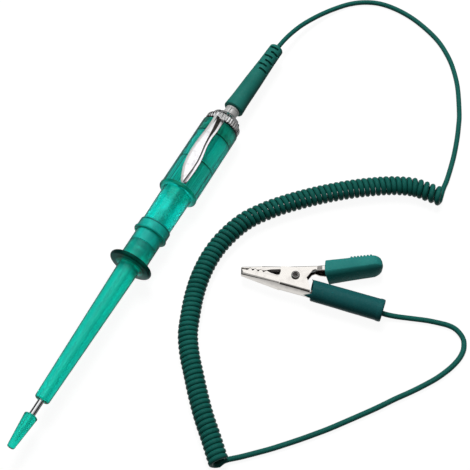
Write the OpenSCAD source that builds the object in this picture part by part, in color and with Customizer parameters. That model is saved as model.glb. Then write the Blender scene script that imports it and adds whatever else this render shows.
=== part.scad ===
// Pen-shaped test light with a curly lead and a crocodile clip, in millimetres.
// The pen lies along X on its flange and handle, its needle towards -X, and the floor is z = 0.
// The crocodile clip lies on its side beside it, at the end of the lead.

/* [Needle and tip cap] */
// Diameter of the steel needle
needle_d = 2; // [1.4:0.1:2.6]
// Bare length of needle between the tip cap and the sleeve
needle_bare = 5.3; // [3:0.1:12]
// Length of the needle's point
point_len = 4.3; // [2:0.1:7]
// Length of the tip cap
cap_len = 11.5; // [9:0.1:16]
// Outer diameter of the tip cap at its mouth
cap_mouth_d = 4.4; // [3.8:0.1:6]
// Outer diameter of the tip cap at its nose
cap_nose_d = 2.5; // [2:0.1:3.2]
// Solid length of the tip cap in front of the needle's point
cap_nose_wall = 2.5; // [1.5:0.1:4]

/* [Probe sleeve] */
// Length of the tapered sleeve in front of the guard flange
sleeve_len = 51.2; // [40:0.1:70]
// Diameter of the sleeve at its front end
sleeve_front_d = 4.9; // [4.4:0.1:7]
// Diameter of the sleeve at the guard flange
sleeve_rear_d = 7.25; // [6.5:0.05:8.5]
// Diameter of the guard flange
flange_d = 14.8; // [13.8:0.1:20]
// Thickness of the guard flange
flange_t = 1.6; // [1:0.1:3]
// Diameter of the band behind the flange and of the collar
band_d = 9.4; // [9.2:0.1:11]
// Length of the band behind the flange
band_len = 6.7; // [5:0.1:10]
// Outer diameter of the spigot that the collar screws over
spigot_d = 7.6; // [7.4:0.05:7.8]
// Inner diameter of the spigot, the socket's seat
spigot_bore_d = 6.4; // [6:0.05:6.6]
// Length of the spigot
spigot_len = 7; // [6:0.1:7.5]

/* [Front collar] */
// Length of the collar
collar_len = 8.2; // [7.5:0.1:12]
// Diameter of the collar's bead
bead_d = 11.6; // [11:0.1:13]
// Thickness of the collar's bead
bead_t = 0.9; // [0.6:0.1:1.5]
// Diameter of the collar's rear ring
ring_d = 10.85; // [10.5:0.05:12]
// Length of the collar's rear ring with the bead
ring_len = 4; // [3:0.1:5]
// Depth of the barrel's seat in the collar
barrel_seat = 2.4; // [1.5:0.1:3]

/* [Lamp barrel] */
// Visible length of the barrel between the collar and the handle
window_len = 13.8; // [10:0.1:20]
// Diameter of the barrel at the collar
barrel_front_d = 9.9; // [9.6:0.1:10.2]
// Diameter of the barrel where it enters the handle
barrel_d = 10.3; // [10:0.1:11]
// Inner diameter of the barrel
barrel_bore_d = 7.9; // [7.8:0.1:8.2]
// Diameter of the two lands that fill the handle's bore
land_d = 11.2; // [10.8:0.1:11.6]
// Length of each land
land_len = 5.7; // [4:0.1:7]
// Gap between the two lands
land_gap = 5.6; // [3:0.1:8]

/* [Handle] */
// Diameter of the handle
handle_d = 13.1; // [12.6:0.1:16]
// Length of the handle
handle_len = 30.7; // [28:0.1:45]
// Diameter of the handle's front bead
handle_bead_d = 13.5; // [13.1:0.1:14.5]
// Length of the handle's front bead
handle_bead_len = 1.3; // [0.8:0.1:2]
// Length of the lip that guides the barrel at the handle's front
handle_lip_len = 3.2; // [2:0.1:5]
// Length of the thick wall at the handle's rear
handle_seat_len = 4.9; // [3.5:0.1:7]
// Radius on the handle's rear edge
handle_edge = 0.4; // [0.2:0.1:0.6]

/* [Lamp and contacts] */
// Diameter of the lamp
lamp_d = 5.6; // [5:0.1:5.7]
// Length of the lamp's metal base
lamp_base_len = 6.5; // [5:0.1:8]
// Length of the lamp's glass
lamp_glass_len = 10; // [8:0.1:12]
// Diameter of the needle's contact head
head_d = 5; // [4:0.1:6]
// Thickness of the needle's contact head
head_t = 1.2; // [0.8:0.1:2]
// Wall of the socket and thickness of the strip
contact_t = 0.3; // [0.2:0.05:0.4]
// Width of the socket's tongue
tongue_w = 2.8; // [2:0.1:3.5]
// Wire diameter of the contact spring
spring_wire = 0.5; // [0.4:0.1:0.7]
// Outer diameter of the contact spring
spring_d = 7; // [6:0.1:7.4]
// Turns of the contact spring
spring_turns = 7; // [5:1:9]

/* [End cap and ferrule] */
// Diameter over the end cap's knurl
knurl_d = 12.6; // [11.8:0.1:13]
// Length of the knurled ring
knurl_len = 2.6; // [2:0.1:4]
// Number of ribs in the knurl
knurl_ribs = 40; // [24:2:60]
// Depth of the grooves between the ribs
knurl_depth = 0.3; // [0.1:0.05:0.5]
// Length of the end cap's cone
cone_len = 1.8; // [1.2:0.1:4]
// Diameter of the cone's small end
cone_end_d = 4.6; // [4.2:0.1:5.5]
// Diameter of the spigot that screws into the handle
end_spigot_d = 8.9; // [8.5:0.1:9.2]
// Diameter of the bush through the end cap
bush_d = 3.3; // [3:0.1:3.6]
// Diameter of the ferrule
ferrule_d = 5.1; // [4.8:0.1:6]
// Length of the ferrule
ferrule_len = 2.9; // [2:0.1:5]
// Width of the ferrule's slit
slit_w = 0.25; // [0.1:0.05:0.5]

/* [Strain relief] */
// Length of the strain relief
relief_len = 30; // [24:0.1:40]
// Diameter of the strain relief at the ferrule
relief_front_d = 7.1; // [6.5:0.1:8]
// Diameter of the strain relief at the cord
relief_rear_d = 5.1; // [4.5:0.1:5.6]
// Sideways bend of the ferrule and the relief, in degrees
relief_bend = 2; // [0:0.5:5]
// Number of slotted rings
slot_rings = 6; // [3:1:8]
// Distance between two slotted rings
slot_pitch = 2.06; // [1.6:0.02:3]
// Width of a slot
slot_w = 0.8; // [0.5:0.1:1.2]
// Depth of a slot
slot_depth = 1; // [0.6:0.1:1.3]
// Slots in a ring
slots_per_ring = 3; // [2:1:4]
// Angle that a slot spans
slot_span = 76; // [50:1:85]

/* [Pocket clip] */
// Thickness of the clip's sheet
clip_t = 0.4; // [0.3:0.05:0.6]
// Length of the clip from the handle's rear to its tip
clip_len = 29.2; // [24:0.1:29.8]
// Height of the clip's arch above its two ends
clip_arch = 1.55; // [1:0.05:2.5]
// Width of the clip at its neck
clip_neck_w = 3.9; // [3:0.1:5]
// Width of the clip at its waist
clip_waist_w = 3.7; // [3:0.1:5]
// Width of the clip at its widest place
clip_wide_w = 4.6; // [4:0.1:6]
// Width of the clip at its round tip
clip_tip_w = 2.6; // [2:0.1:3.6]
// Turn of the clip about the pen, in degrees
clip_roll = 2.5; // [0:0.5:5]
// Sideways lean of the clip's strip, in degrees
clip_lean = 1.2; // [0:0.1:2]
// Diameter of the clamp ring under the end cap
clamp_d = 11.5; // [11:0.1:12]

/* [Cord] */
// Diameter of the cord
cord_d = 1.75; // [1.2:0.05:2]
// Outer diameter of the curly stretch
coil_d = 6.5; // [5.5:0.1:6.6]

/* [Crocodile clip] */
// Thickness of the jaws' sheet
jaw_t = 0.5; // [0.4:0.05:0.6]
// Width of the clip across its ears
ear_w = 5.4; // [5:0.1:6.4]
// Width of the jaws at their tip
nose_w = 2.8; // [2.2:0.1:3.6]
// Length from the pivot to the tip of the jaws
jaw_len = 17.3; // [17:0.1:20]
// Distance between two teeth
tooth_pitch = 1.7; // [1.2:0.02:2]
// Height of a tooth
tooth_h = 0.6; // [0.4:0.05:0.9]
// Width of the flat on the upper jaw's teeth
upper_flat = 0.7; // [0.2:0.1:0.8]
// Width of the flat on the lower jaw's teeth
lower_flat = 0.3; // [0.1:0.1:0.6]
// Outer radius of the pin's shank
pin_r = 1; // [0.8:0.05:1.2]
// Radius of the pin's bore
pin_bore_r = 0.6; // [0.4:0.05:0.7]
// Height of the pin's rolled rim
pin_rim = 0.7; // [0.4:0.1:1]
// Height of the pin's flat head, on the side that lies down
pin_head = 0.35; // [0.2:0.05:0.4]
// Wire diameter of the jaw spring
jaw_wire = 0.6; // [0.4:0.1:0.7]

/* [Boots] */
// Wall of the vinyl boots
boot_t = 0.75; // [0.5:0.05:0.8]
// Outer diameter of the lower boot at its front
boot_front_d = 6.8; // [6.3:0.1:7.2]
// Outer diameter of the lower boot at its rear
boot_rear_d = 7.3; // [6.8:0.1:7.5]
// Length of the lower boot
boot_len = 22.9; // [20:0.1:26]
// Thickness of the upper boot at its front
pad_front_h = 6.5; // [5.6:0.1:7]
// Thickness of the upper boot before its round end
pad_rear_h = 5.4; // [4.8:0.1:6]
// Length of the upper boot
pad_len = 17.6; // [16:0.1:22]
// Number of ridges on the thumb pad
pad_ridges = 7; // [5:1:9]
// Height of the ridges on the thumb pad
ridge_h = 0.8; // [0.2:0.05:0.9]
// Length of the pointed tab at the lower boot's front
tab_len = 2.6; // [1:0.1:4]

/* [Hidden] */
$fn = 96;

// Radial clearance of a sliding fit, and of a loose one
fit = 0.05;
loose = 0.1;
// Axial gap between pieces that butt
butt = 0.1;
// Overlap that keeps two cuts from ending on one plane
eps = 0.5;
// Thickness of the slices that a hull is drawn over
slice_t = 0.02;

// Depth of the needle head's seat in the band, and of the bush's seat in the end cap
seat_depth = 3;
bush_seat_t = 0.8;
bush_rim_r = bush_d / 2 + 0.8;
// Length of the strip's washer and the spring behind it, and of the terminal's plate
spring_room = 10.6;
terminal_t = 1;
// How far the terminal's stem stays below the handle's rear, and the depth of its bore
stem_inset = 1.4;
stem_bore = 2.5;

// Stations along the pen, from the front face of the guard flange
sleeve_front = -sleeve_len;
cap_mouth = sleeve_front - needle_bare;
cap_nose = cap_mouth - cap_len;
point_tip = cap_nose + cap_nose_wall;
band_end = flange_t + band_len;
head_seat = band_end - seat_depth;
spigot_end = band_end + spigot_len;
collar_end = band_end + collar_len;
barrel_start = collar_end - barrel_seat + butt;
handle_front = collar_end + window_len;
handle_rear = handle_front + handle_len;
seat_front = handle_rear - handle_seat_len;
barrel_end = seat_front - butt;
knurl_end = handle_rear + knurl_len;
cone_end = knurl_end + cone_len;
ferrule_front = cone_end + butt;
ferrule_end = ferrule_front + ferrule_len;
relief_front = ferrule_end + 2 * butt;
relief_end = relief_front + relief_len;

// Lamp and contacts, from the needle's head back to the terminal
contact_face = head_seat + head_t;
lamp_base_end = contact_face + lamp_base_len + butt;
lamp_end = lamp_base_end + lamp_glass_len;
socket_start = contact_face + 0.6;
socket_end = spigot_end + 0.6;
socket_r = spigot_bore_d / 2 - fit;
strip_r = barrel_bore_d / 2 - fit;
terminal_front = barrel_end - terminal_t;
washer_end = terminal_front - spring_room;
stem_end = handle_rear - stem_inset;
bush_seat = knurl_end - bush_seat_t;

// The crocodile clip's pivot and heading
pivot = [7.2, -47.4];
clip_heading = 115;

// Half widths of the two jaws: the upper one nests inside the lower one's ears
ear_half = ear_w / 2;
nose_half = nose_w / 2;
inner_half = ear_half - jaw_t - loose;
flare_half = ear_half - 0.05;
// Gap between the ears and the pin's head and rim
lug = 0.02;

// Places along the clip: where the jaws start to taper, the ears' ends and the lever's flare
taper_u = 5;
ear_front = 4.8;
ear_rear = -4.75;
ear_notch = 0.3;
flare_u = -6.8;

// The lower jaw's tail, which the boot grips: half width, length, floor and rims
tail_half = 1.3;
tail_len = 11.5;
tail_floor = -(boot_front_d / 2 - boot_t) + 0.85;
tail_rim = -0.7;
// The cord's line beside the boot's axis, where the crimp holds it
crimp_off = -0.175;

// The boots' axes in the clip's own plane: front point and direction in degrees
boot_front = [-5.8, -3.8];
boot_dir = 194.4;
pad_front = [-10.4, 3];
pad_dir = 168.2;
pad_half_z = flare_half + loose + boot_t;
pad_corner = 1.6;
// Where the upper boot's mouth is cut at its top, and the lean of the cut in degrees
mouth_u = pad_front.x + 1.2;
mouth_lean = 17;

// Height of the clip's middle plane: whatever is thickest lies on the floor
clip_mid_z = max(boot_rear_d / 2, pad_half_z, ear_half + lug + pin_head) + 0.05;

// Where the two jaws part: the first tooth's place, the slope of the line, and the heights of
// the parting, the top and the bottom at the nose
teeth = 4;
part_u = jaw_len - 2 - (teeth - 1) * tooth_pitch;
part_v = 1.38;
part_slope = 0.145;
nose_part = 2;
nose_top = 2.68;
nose_low = 0.3;
tooth_gap = 0.05;
tooth_root = 0.1;

// Route of the cord from the strain relief to the coil
lead_route = [
    [83.1, -1.2, 6], [87.8, -1.6, 5.5], [92.8, -2.3, 4.6], [98.8, -3.7, 3.4], [105.8, -6.5, 2.2],
    [111.8, -9.8, 1.3], [116.8, -13.7, 0.9], [120.2, -18.3, 0.9], [122.2, -23.6, 0.9],
    [122.6, -29.7, 0.9], [121.7, -36.3, 0.9], [119.5, -43, 0.9], [116.8, -48.6, 0.9],
    [113.4, -53.2, 0.9], [108.9, -57.7, 0.9], [101.9, -62.7, 0.9], [92.2, -67.6, 0.9],
    [87.3, -69.5, 0.9], [82.1, -71.2, 0.9], [75.7, -72.9, 0.9], [70.2, -74, 0.9],
    [65.2, -74.8, 0.9], [61.5, -75.1, 0.9], [58.8, -75.1, 0.9]
];

// Route of the coil's middle line
coil_route = [
    [57.2, -75.9, 3.3], [56.9, -72, 3.3], [56.2, -66.4, 3.3], [53.4, -60, 3.3],
    [49.6, -54, 3.3], [45.4, -48.3, 3.3], [40.8, -42.8, 3.3], [35.9, -37.5, 3.3],
    [30.5, -32.3, 3.3], [24.7, -27.5, 3.3], [18, -23.3, 3.3], [9.8, -20.7, 3.3],
    [2.3, -19.8, 3.3], [-5.6, -20.3, 3.3], [-13.2, -22, 3.3], [-20.3, -24.5, 3.3],
    [-25.7, -26.8, 3.3], [-31.2, -30.5, 3.3], [-36.5, -35, 3.3], [-41.7, -39.5, 3.3],
    [-46.6, -44.1, 3.3], [-51.1, -48.9, 3.3], [-54.6, -52.5, 3.3], [-57, -55, 3.3]
];

// Route of the cord from the coil to the crimp in the lower boot
clip_route = [
    [-57.3, -53.6, 0.9], [-54.9, -56, 0.9], [-51.8, -59.5, 0.9], [-48.5, -63, 0.9],
    [-45.2, -66.4, 0.9], [-41.7, -69.7, 0.9], [-38.1, -73, 0.9], [-34.3, -76.3, 0.9],
    [-31.2, -78.9, 0.9], [-25, -83.7, 0.9], [-18.5, -88.6, 0.9], [-13.2, -92.3, 0.9],
    [-8.1, -96.1, 0.9], [-2.2, -100, 0.9], [1.4, -101.9, 0.9], [4.5, -103.2, 0.9],
    [7.3, -104, 0.9], [9.5, -104.3, 0.9], [11.6, -104.2, 0.9], [13.4, -103.6, 0.9],
    [14.8, -102.8, 0.9], [16, -101.3, 0.9], [16.9, -99.2, 0.9], [17, -96.8, 0.9],
    [16.4, -93.9, 0.9], [15.3, -90, 0.9], [13.6, -85.4, 0.9], [11.8, -80.8, 1.1],
    [10.55, -77.2, 1.75], [9.7, -72.8, 2.6], [8.85, -69, 3.4], [8.22, -66, 3.66], [7.7, -63.2, 3.7]
];

// Gap between the strain relief and the first point of the cord
lead_gap = 0.2;

// The pen rests on the flange's rim and on the handle's rear edge, so its axis slopes; a
// handle that is thicker than the flange rests on its front edge
rest_front = flange_t / 2;
rest_rear = handle_d < flange_d ? handle_rear - handle_edge : handle_front + handle_bead_len;
pen_tilt = atan((flange_d - handle_d) / 2 / (rest_rear - rest_front));
pen_x = lead_route[0].x - lead_gap - relief_end * cos(pen_tilt);
pen_z = rest_front * sin(pen_tilt) + flange_d / 2 * cos(pen_tilt);

// Geometry helpers

// Points on an arc from angle a0 to angle a1
function arc(c, r, a0, a1, n = 8) = [
    for (i = [0:n]) let (a = a0 + (a1 - a0) * i / n) c + r * [cos(a), sin(a)]
];

function unit(v) = v / norm(v);

// An open outline moved sideways by a distance, to the left of its run
function beside(path, d) = [
    for (i = [0:len(path) - 1])
        let (
            a = unit(path[max(i, 1)] - path[max(i, 1) - 1]),
            b = unit(path[min(i, len(path) - 2) + 1] - path[min(i, len(path) - 2)]),
            n = unit([-a.y - b.y, a.x + b.x])
        )
        path[i] + n * d / (n * [-a.y, a.x])
];

// An outline that is the same on both sides of the X axis
module both_sides(side, between = []) {
    polygon(concat(side, between, [for (i = [len(side) - 1:-1:0]) [side[i][0], -side[i][1]]]));
}

// Direction of a route at its point i
function heading(route, i) =
    unit(route[min(i + 1, len(route) - 1)] - route[max(i - 1, 0)]);

// One ring of a swept tube, square to the route at point i
function tube_ring(route, i, r, sides) =
    let (t = heading(route, i), side = unit(cross(t, [0, 0.001, 1])), up = cross(side, t))
    [for (k = [0:sides - 1]) route[i] + r * (cos(360 * k / sides) * up + sin(360 * k / sides) * side)];

// A round tube swept along a route
module swept(route, r, sides) {
    n = len(route);
    points = [for (i = [0:n - 1]) each tube_ring(route, i, r, sides)];
    walls = [
        for (i = [0:n - 2], k = [0:sides - 1])
            let (a = i * sides + k, b = i * sides + (k + 1) % sides)
            each [[a, b, b + sides], [a, b + sides, a + sides]]
    ];
    start = [for (k = [sides - 1:-1:0]) k];
    end = [for (k = [0:sides - 1]) (n - 1) * sides + k];
    polyhedron(points, concat([start], walls, [end]));
}

// A shape turned about the pen's axis, drawn as [radius, station]
module turned(profile) rotate([0, 90, 0]) rotate_extrude() polygon(profile);

// A turned ring with a round rim
module turned_bead(r, station, half) {
    rotate([0, 90, 0]) rotate_extrude() translate([r - half, station]) circle(half, $fn = 32);
}

// A plain tube along the pen's axis
module pipe(outer_r, inner_r, from, to) {
    turned([[inner_r, from], [outer_r, from], [outer_r, to], [inner_r, to]]);
}

// A curved strip along the pen's axis, centred at an angle from the top
module shell_strip(outer_r, inner_r, from, to, span, at) {
    rotate([at - span / 2, 0, 0]) rotate([0, 90, 0]) rotate([0, 0, 180])
        rotate_extrude(angle = span)
            polygon([[inner_r, from], [outer_r, from], [outer_r, to], [inner_r, to]]);
}

// Places the pen's own axis on the floor's frame
module pen_frame() translate([pen_x, 0, pen_z]) rotate([0, pen_tilt, 0]) children();

// The ferrule and relief bend sideways from the end cap
module bent_frame() {
    pen_frame() translate([ferrule_front, 0, 0]) rotate([0, 0, -relief_bend])
        translate([-ferrule_front, 0, 0]) children();
}

// Places the crocodile clip: u runs to the jaws' tip, v to the upper jaw, z up
module clip_frame() {
    translate([pivot.x, pivot.y, clip_mid_z]) rotate([0, 0, clip_heading])
        mirror([0, 1, 0]) children();
}

// Probe and pen body

module tip_cap() {
    nose_r = cap_nose_d / 2;
    mouth_r = cap_mouth_d / 2;
    bore_r = needle_d / 2 + loose;
    lip = 0.5;
    color([0.05, 0.65, 0.5, 0.8]) pen_frame() difference() {
        turned(concat(
            [[0, cap_nose]],
            arc([nose_r - 0.6, cap_nose + 0.6], 0.6, -90, -8, 6),
            arc([mouth_r - lip, cap_mouth - lip], lip, 0, 90, 6),
            [[0, cap_mouth]]
        ));
        turned([
            [0, point_tip - 2 * loose], [0.15, point_tip - loose],
            [bore_r, point_tip + point_len - loose], [bore_r, cap_mouth + eps], [0, cap_mouth + eps]
        ]);
    }
}

module probe_needle() {
    r = needle_d / 2;
    color([0.8, 0.8, 0.8]) pen_frame() turned([
        [0, point_tip], [r, point_tip + point_len], [r, head_seat], [head_d / 2, head_seat],
        [head_d / 2, contact_face], [0, contact_face]
    ]);
}

module probe_sleeve() {
    front_r = sleeve_front_d / 2;
    edge = 0.7;
    rim = flange_t / 2;
    color([0.08, 0.7, 0.56, 0.8]) pen_frame() difference() {
        union() {
            turned(concat(
                [[0, sleeve_front]],
                arc([front_r - edge, sleeve_front + edge], edge, -90, 0, 6),
                [[sleeve_rear_d / 2, 0], [sleeve_rear_d / 2, flange_t / 2], [0, flange_t / 2]]
            ));
            pipe(flange_d / 2 - rim, 0, 0, flange_t);
            turned_bead(flange_d / 2, rim, rim);
            turned([
                [0, rim], [band_d / 2 + 0.4, rim], [band_d / 2 + 0.4, flange_t],
                [band_d / 2, flange_t + 0.4], [band_d / 2, band_end - 0.2],
                [band_d / 2 - 0.2, band_end], [0, band_end]
            ]);
            pipe(spigot_d / 2, 0, band_end - eps, spigot_end);
        }
        pipe(needle_d / 2 + fit, 0, sleeve_front - eps, head_seat + eps);
        pipe(spigot_bore_d / 2, 0, head_seat, spigot_end + eps);
    }
}

module front_collar() {
    r = band_d / 2;
    ring_start = collar_end - ring_len;
    color([0.1, 0.75, 0.6, 0.8]) pen_frame() difference() {
        union() {
            turned([
                [0, band_end], [r - 0.2, band_end], [r, band_end + 0.2], [r, collar_end - eps],
                [0, collar_end - eps]
            ]);
            turned([
                [0, ring_start + bead_t / 2], [ring_d / 2, ring_start + bead_t / 2],
                [ring_d / 2, collar_end - 0.2], [ring_d / 2 - 0.2, collar_end], [0, collar_end]
            ]);
            turned_bead(bead_d / 2, ring_start + bead_t / 2, bead_t / 2);
            pipe(bead_d / 2 - bead_t / 2, 0, ring_start, ring_start + bead_t);
        }
        pipe(spigot_d / 2 + fit, 0, band_end - eps, collar_end + eps);
        pipe(band_d / 2 - loose, 0, collar_end - barrel_seat, collar_end + eps);
    }
}

module lamp_barrel() {
    rear_land = barrel_end - land_len;
    front_land = rear_land - land_gap - land_len;
    color([0.2, 0.85, 0.7, 0.7]) pen_frame() difference() {
        union() {
            turned([
                [0, barrel_start], [band_d / 2 - loose - fit, barrel_start],
                [band_d / 2 - loose - fit, collar_end], [barrel_front_d / 2, collar_end],
                [barrel_d / 2, handle_front], [barrel_d / 2, barrel_end], [0, barrel_end]
            ]);
            pipe(land_d / 2, 0, front_land, front_land + land_len);
            pipe(land_d / 2, 0, rear_land, barrel_end);
        }
        pipe(barrel_bore_d / 2, 0, barrel_start - eps, barrel_end + eps);
    }
}

module handle() {
    r = handle_d / 2;
    bead_r = handle_bead_d / 2;
    lip_r = barrel_d / 2 + loose;
    bead_end = handle_front + handle_bead_len;
    recess = clip_t + 0.04;
    color([0.08, 0.6, 0.48, 0.8]) pen_frame() difference() {
        turned(concat(
            [[lip_r, handle_front]],
            arc([bead_r - 0.4, handle_front + 0.4], 0.4, -90, 0, 5),
            arc([bead_r - 0.4, bead_end - 0.4], 0.4, 0, 60, 4),
            [[r, bead_end]],
            arc([r - handle_edge, handle_rear - handle_edge], handle_edge, 0, 90, 5),
            [
                [end_spigot_d / 2 + fit, handle_rear], [end_spigot_d / 2 + fit, seat_front],
                [land_d / 2 + loose, seat_front], [land_d / 2 + loose, handle_front + handle_lip_len],
                [lip_r, handle_front + handle_lip_len]
            ]
        ));
        pipe(clamp_d / 2 + loose, 0, handle_rear - recess, handle_rear + eps);
        rotate([-clip_roll, 0, 0]) translate([handle_rear - recess, -clip_neck_w / 2 - loose, 0])
            cube([recess + eps, clip_neck_w + 2 * loose, handle_d]);
    }
}

// Lamp and contacts inside the pen

module lamp() {
    r = lamp_d / 2;
    base_start = contact_face + 0.7;
    color([0.95, 0.9, 0.75]) pen_frame() union() {
        turned([
            [0, contact_face], [0.9, contact_face], [1.2, base_start], [r, base_start],
            [r, lamp_base_end - 0.6], [r - 0.3, lamp_base_end], [0, lamp_base_end]
        ]);
        turned(concat(
            [[0, lamp_base_end - eps], [r - 0.5, lamp_base_end - eps], [r - 0.5, lamp_base_end + 0.8]],
            arc([0, lamp_end - r + 0.1], r - 0.1, 0, 90, 8)
        ));
    }
}

module lamp_socket() {
    tongue_at = 17;
    tongue_end = collar_end + 2.3;
    tongue_span = 2 * asin(tongue_w / 2 / strip_r);
    color([0.75, 0.74, 0.7]) pen_frame() union() {
        pipe(socket_r, socket_r - contact_t, socket_start, socket_end);
        shell_strip(strip_r, socket_r - contact_t / 2, socket_end - contact_t, socket_end - 0.01,
            tongue_span, tongue_at);
        shell_strip(strip_r, strip_r - contact_t, socket_end - contact_t / 2, tongue_end,
            tongue_span, tongue_at);
    }
}

module contact_strip() {
    span = 36;
    color([0.75, 0.74, 0.7]) pen_frame() union() {
        shell_strip(strip_r, socket_r - contact_t, socket_end + 0.02, socket_end + contact_t, span, 180);
        shell_strip(strip_r, strip_r - contact_t, socket_end + 0.02, washer_end, span, 180);
        pipe(strip_r, 1.5, washer_end - contact_t, washer_end);
    }
}

module contact_spring() {
    steps = 12;
    r = (spring_d - spring_wire) / 2;
    start = washer_end + spring_wire / 2 + 0.05;
    length = terminal_front - washer_end - spring_wire - 0.1;
    count = spring_turns * steps;
    route = [
        for (i = [0:count])
            let (a = 360 * i / steps) [start + length * i / count, r * sin(a), r * cos(a)]
    ];
    color([0.75, 0.75, 0.75]) pen_frame() swept(route, spring_wire / 2, 6);
}

module rear_terminal() {
    color([0.75, 0.74, 0.7]) pen_frame() difference() {
        union() {
            pipe(strip_r - loose, 0, terminal_front, barrel_end);
            pipe(1.9, 0, barrel_end - 0.2, stem_end);
        }
        pipe(cord_d / 2 + fit, 0, stem_end - stem_bore, stem_end + eps);
    }
}

module inner_lead() {
    color([0.07, 0.35, 0.3]) pen_frame()
        pipe(cord_d / 2, 0, stem_end - stem_bore + butt, relief_front - butt);
}

// End cap, bush, ferrule and strain relief

// A ribbed outline: flat ribs with grooves between them
module knurl_outline() {
    step = 360 / knurl_ribs;
    tip_r = knurl_d / 2;
    root_r = tip_r - knurl_depth;
    polygon([
        for (i = [0:knurl_ribs - 1], k = [[-0.3, 1], [0.1, 1], [0.3, 0], [0.5, 0]])
            let (a = (i + k[0]) * step, r = k[1] == 1 ? tip_r : root_r) r * [cos(a), sin(a)]
    ]);
}

module end_cap() {
    r = knurl_d / 2;
    edge = 0.4;
    color([0.85, 0.86, 0.88]) pen_frame() difference() {
        union() {
            pipe(end_spigot_d / 2, 0, seat_front - 0.02, handle_rear + eps);
            intersection() {
                translate([handle_rear, 0, 0]) rotate([0, 90, 0])
                    linear_extrude(knurl_len) knurl_outline();
                turned([
                    [0, handle_rear], [r - edge, handle_rear], [r, handle_rear + edge],
                    [r, knurl_end - edge], [r - edge, knurl_end], [0, knurl_end]
                ]);
            }
            turned(concat(
                [[0, knurl_end - eps], [r - knurl_depth - 0.5, knurl_end - eps]],
                [for (i = [0:8]) let (t = i / 8) [
                    cone_end_d / 2 + (r - knurl_depth - 0.5 - cone_end_d / 2) * pow(1 - t, 1.25),
                    knurl_end + cone_len * t
                ]],
                [[0, cone_end]]
            ));
        }
        pipe(bush_rim_r + 0.15, 0, seat_front - eps, bush_seat);
        pipe(bush_d / 2 + fit, 0, bush_seat - eps, cone_end + eps);
    }
}

module neck_bush() {
    rim = 1;
    tail = 1.5;
    color([0.8, 0.8, 0.8]) pen_frame() difference() {
        union() {
            pipe(bush_rim_r, 0, bush_seat - rim, bush_seat);
            pipe(bush_d / 2, 0, bush_seat - eps, ferrule_front + tail);
        }
        pipe(cord_d / 2 + loose, 0, bush_seat - rim - eps, ferrule_front + tail + eps);
    }
}

module ferrule() {
    r = ferrule_d / 2;
    bead = 0.35;
    line = 0.2;
    seam_at = ferrule_end - 0.75;
    color([0.85, 0.86, 0.88]) bent_frame() difference() {
        union() {
            pipe(r - 0.15, 0, ferrule_front, ferrule_end);
            turned_bead(r, ferrule_front + bead, bead);
            turned_bead(r, ferrule_end - bead, bead);
        }
        pipe(bush_d / 2 + loose, 0, ferrule_front - eps, ferrule_end + eps);
        translate([ferrule_front - eps, -slit_w / 2, 0])
            cube([seam_at - ferrule_front + eps, slit_w, ferrule_d]);
        difference() {
            pipe(r + 1, 0, seam_at - line, seam_at);
            pipe(r - 0.35, 0, seam_at - 2 * line, seam_at + line);
        }
    }
}

module strain_relief() {
    front_r = relief_front_d / 2;
    rear_r = relief_rear_d / 2;
    last_slot = relief_end - 1.7;
    color([0.1, 0.42, 0.36]) bent_frame() difference() {
        turned(concat(
            [[0, relief_front]],
            arc([front_r - 0.4, relief_front + 0.4], 0.4, -90, 0, 5),
            [
                [front_r - 0.25, relief_front + relief_len * 0.15],
                [front_r - 0.5, relief_front + relief_len * 0.45],
                [rear_r + 0.12, relief_end - 7]
            ],
            arc([rear_r - 0.5, relief_end - 0.5], 0.5, 0, 90, 6),
            [[0, relief_end]]
        ));
        for (i = [0:slot_rings - 1], k = [0:slots_per_ring - 1]) {
            at = 360 / slots_per_ring * k + (i % 2) * 33;
            mid = last_slot - i * slot_pitch;
            shell_strip(front_r + 1, rear_r - slot_depth + 0.05 * i, mid - slot_w / 2,
                mid + slot_w / 2, slot_span, at);
        }
    }
}

// Pocket clip

// Height of the arch's underside edge, just clear of the handle
function clip_base() = handle_d / 2 + 0.07;

// Side view of the clip, lowered by a given amount: a shallow circular segment
module clip_side(drop) {
    half = clip_len / 2;
    end_h = clip_base() + 0.45;
    radius = (half * half + clip_arch * clip_arch) / (2 * clip_arch);
    intersection() {
        translate([handle_rear - half, end_h + clip_arch - radius]) circle(radius - drop, $fn = 360);
        translate([handle_rear - clip_len - eps, clip_base() - (drop > 0 ? 1 : 0)])
            square([clip_len + eps, 2 * radius]);
    }
}

// Plan of the clip's strip, inset by a given amount
module clip_plan(inset) {
    tip = handle_rear - clip_len;
    tip_r = clip_tip_w / 2;
    widths = [
        [handle_rear - 3 * inset, clip_neck_w], [handle_rear - 6, clip_waist_w],
        [handle_rear - 11, clip_waist_w], [handle_rear - 15.5, (clip_waist_w + clip_wide_w) / 2],
        [handle_rear - 20, clip_wide_w], [handle_rear - 23, clip_wide_w - 0.3],
        [tip + tip_r + 1.5, clip_tip_w + 0.7]
    ];
    both_sides(
        [for (w = widths) [w[0], w[1] / 2 - inset]],
        arc([tip + tip_r, 0], tip_r - inset, 90, 270, 12)
    );
}

// The strip's outer or inner form: side view and plan together
module clip_form(drop, inset) {
    intersection() {
        rotate([90, 0, 0]) linear_extrude(20, center = true) clip_side(drop);
        linear_extrude(20) clip_plan(inset);
    }
}

module pocket_clip() {
    ring_front = handle_rear - clip_t - 0.02;
    color([0.85, 0.86, 0.88]) pen_frame() rotate([-clip_roll, 0, 0]) union() {
        pipe(clamp_d / 2, end_spigot_d / 2 + loose, ring_front, ring_front + clip_t);
        translate([ring_front, -clip_neck_w / 2, clamp_d / 2 - 0.6])
            cube([clip_t, clip_neck_w, clip_base() + 0.4 - clamp_d / 2 + 0.6]);
        translate([handle_rear, 0, 0]) rotate([0, 0, clip_lean]) translate([-handle_rear, 0, 0])
            difference() {
                clip_form(0, 0);
                clip_form(clip_t, clip_t);
            }
    }
}

// Cord

module cord_lead() color([0.07, 0.35, 0.3]) swept(lead_route, cord_d / 2, 8);

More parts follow.
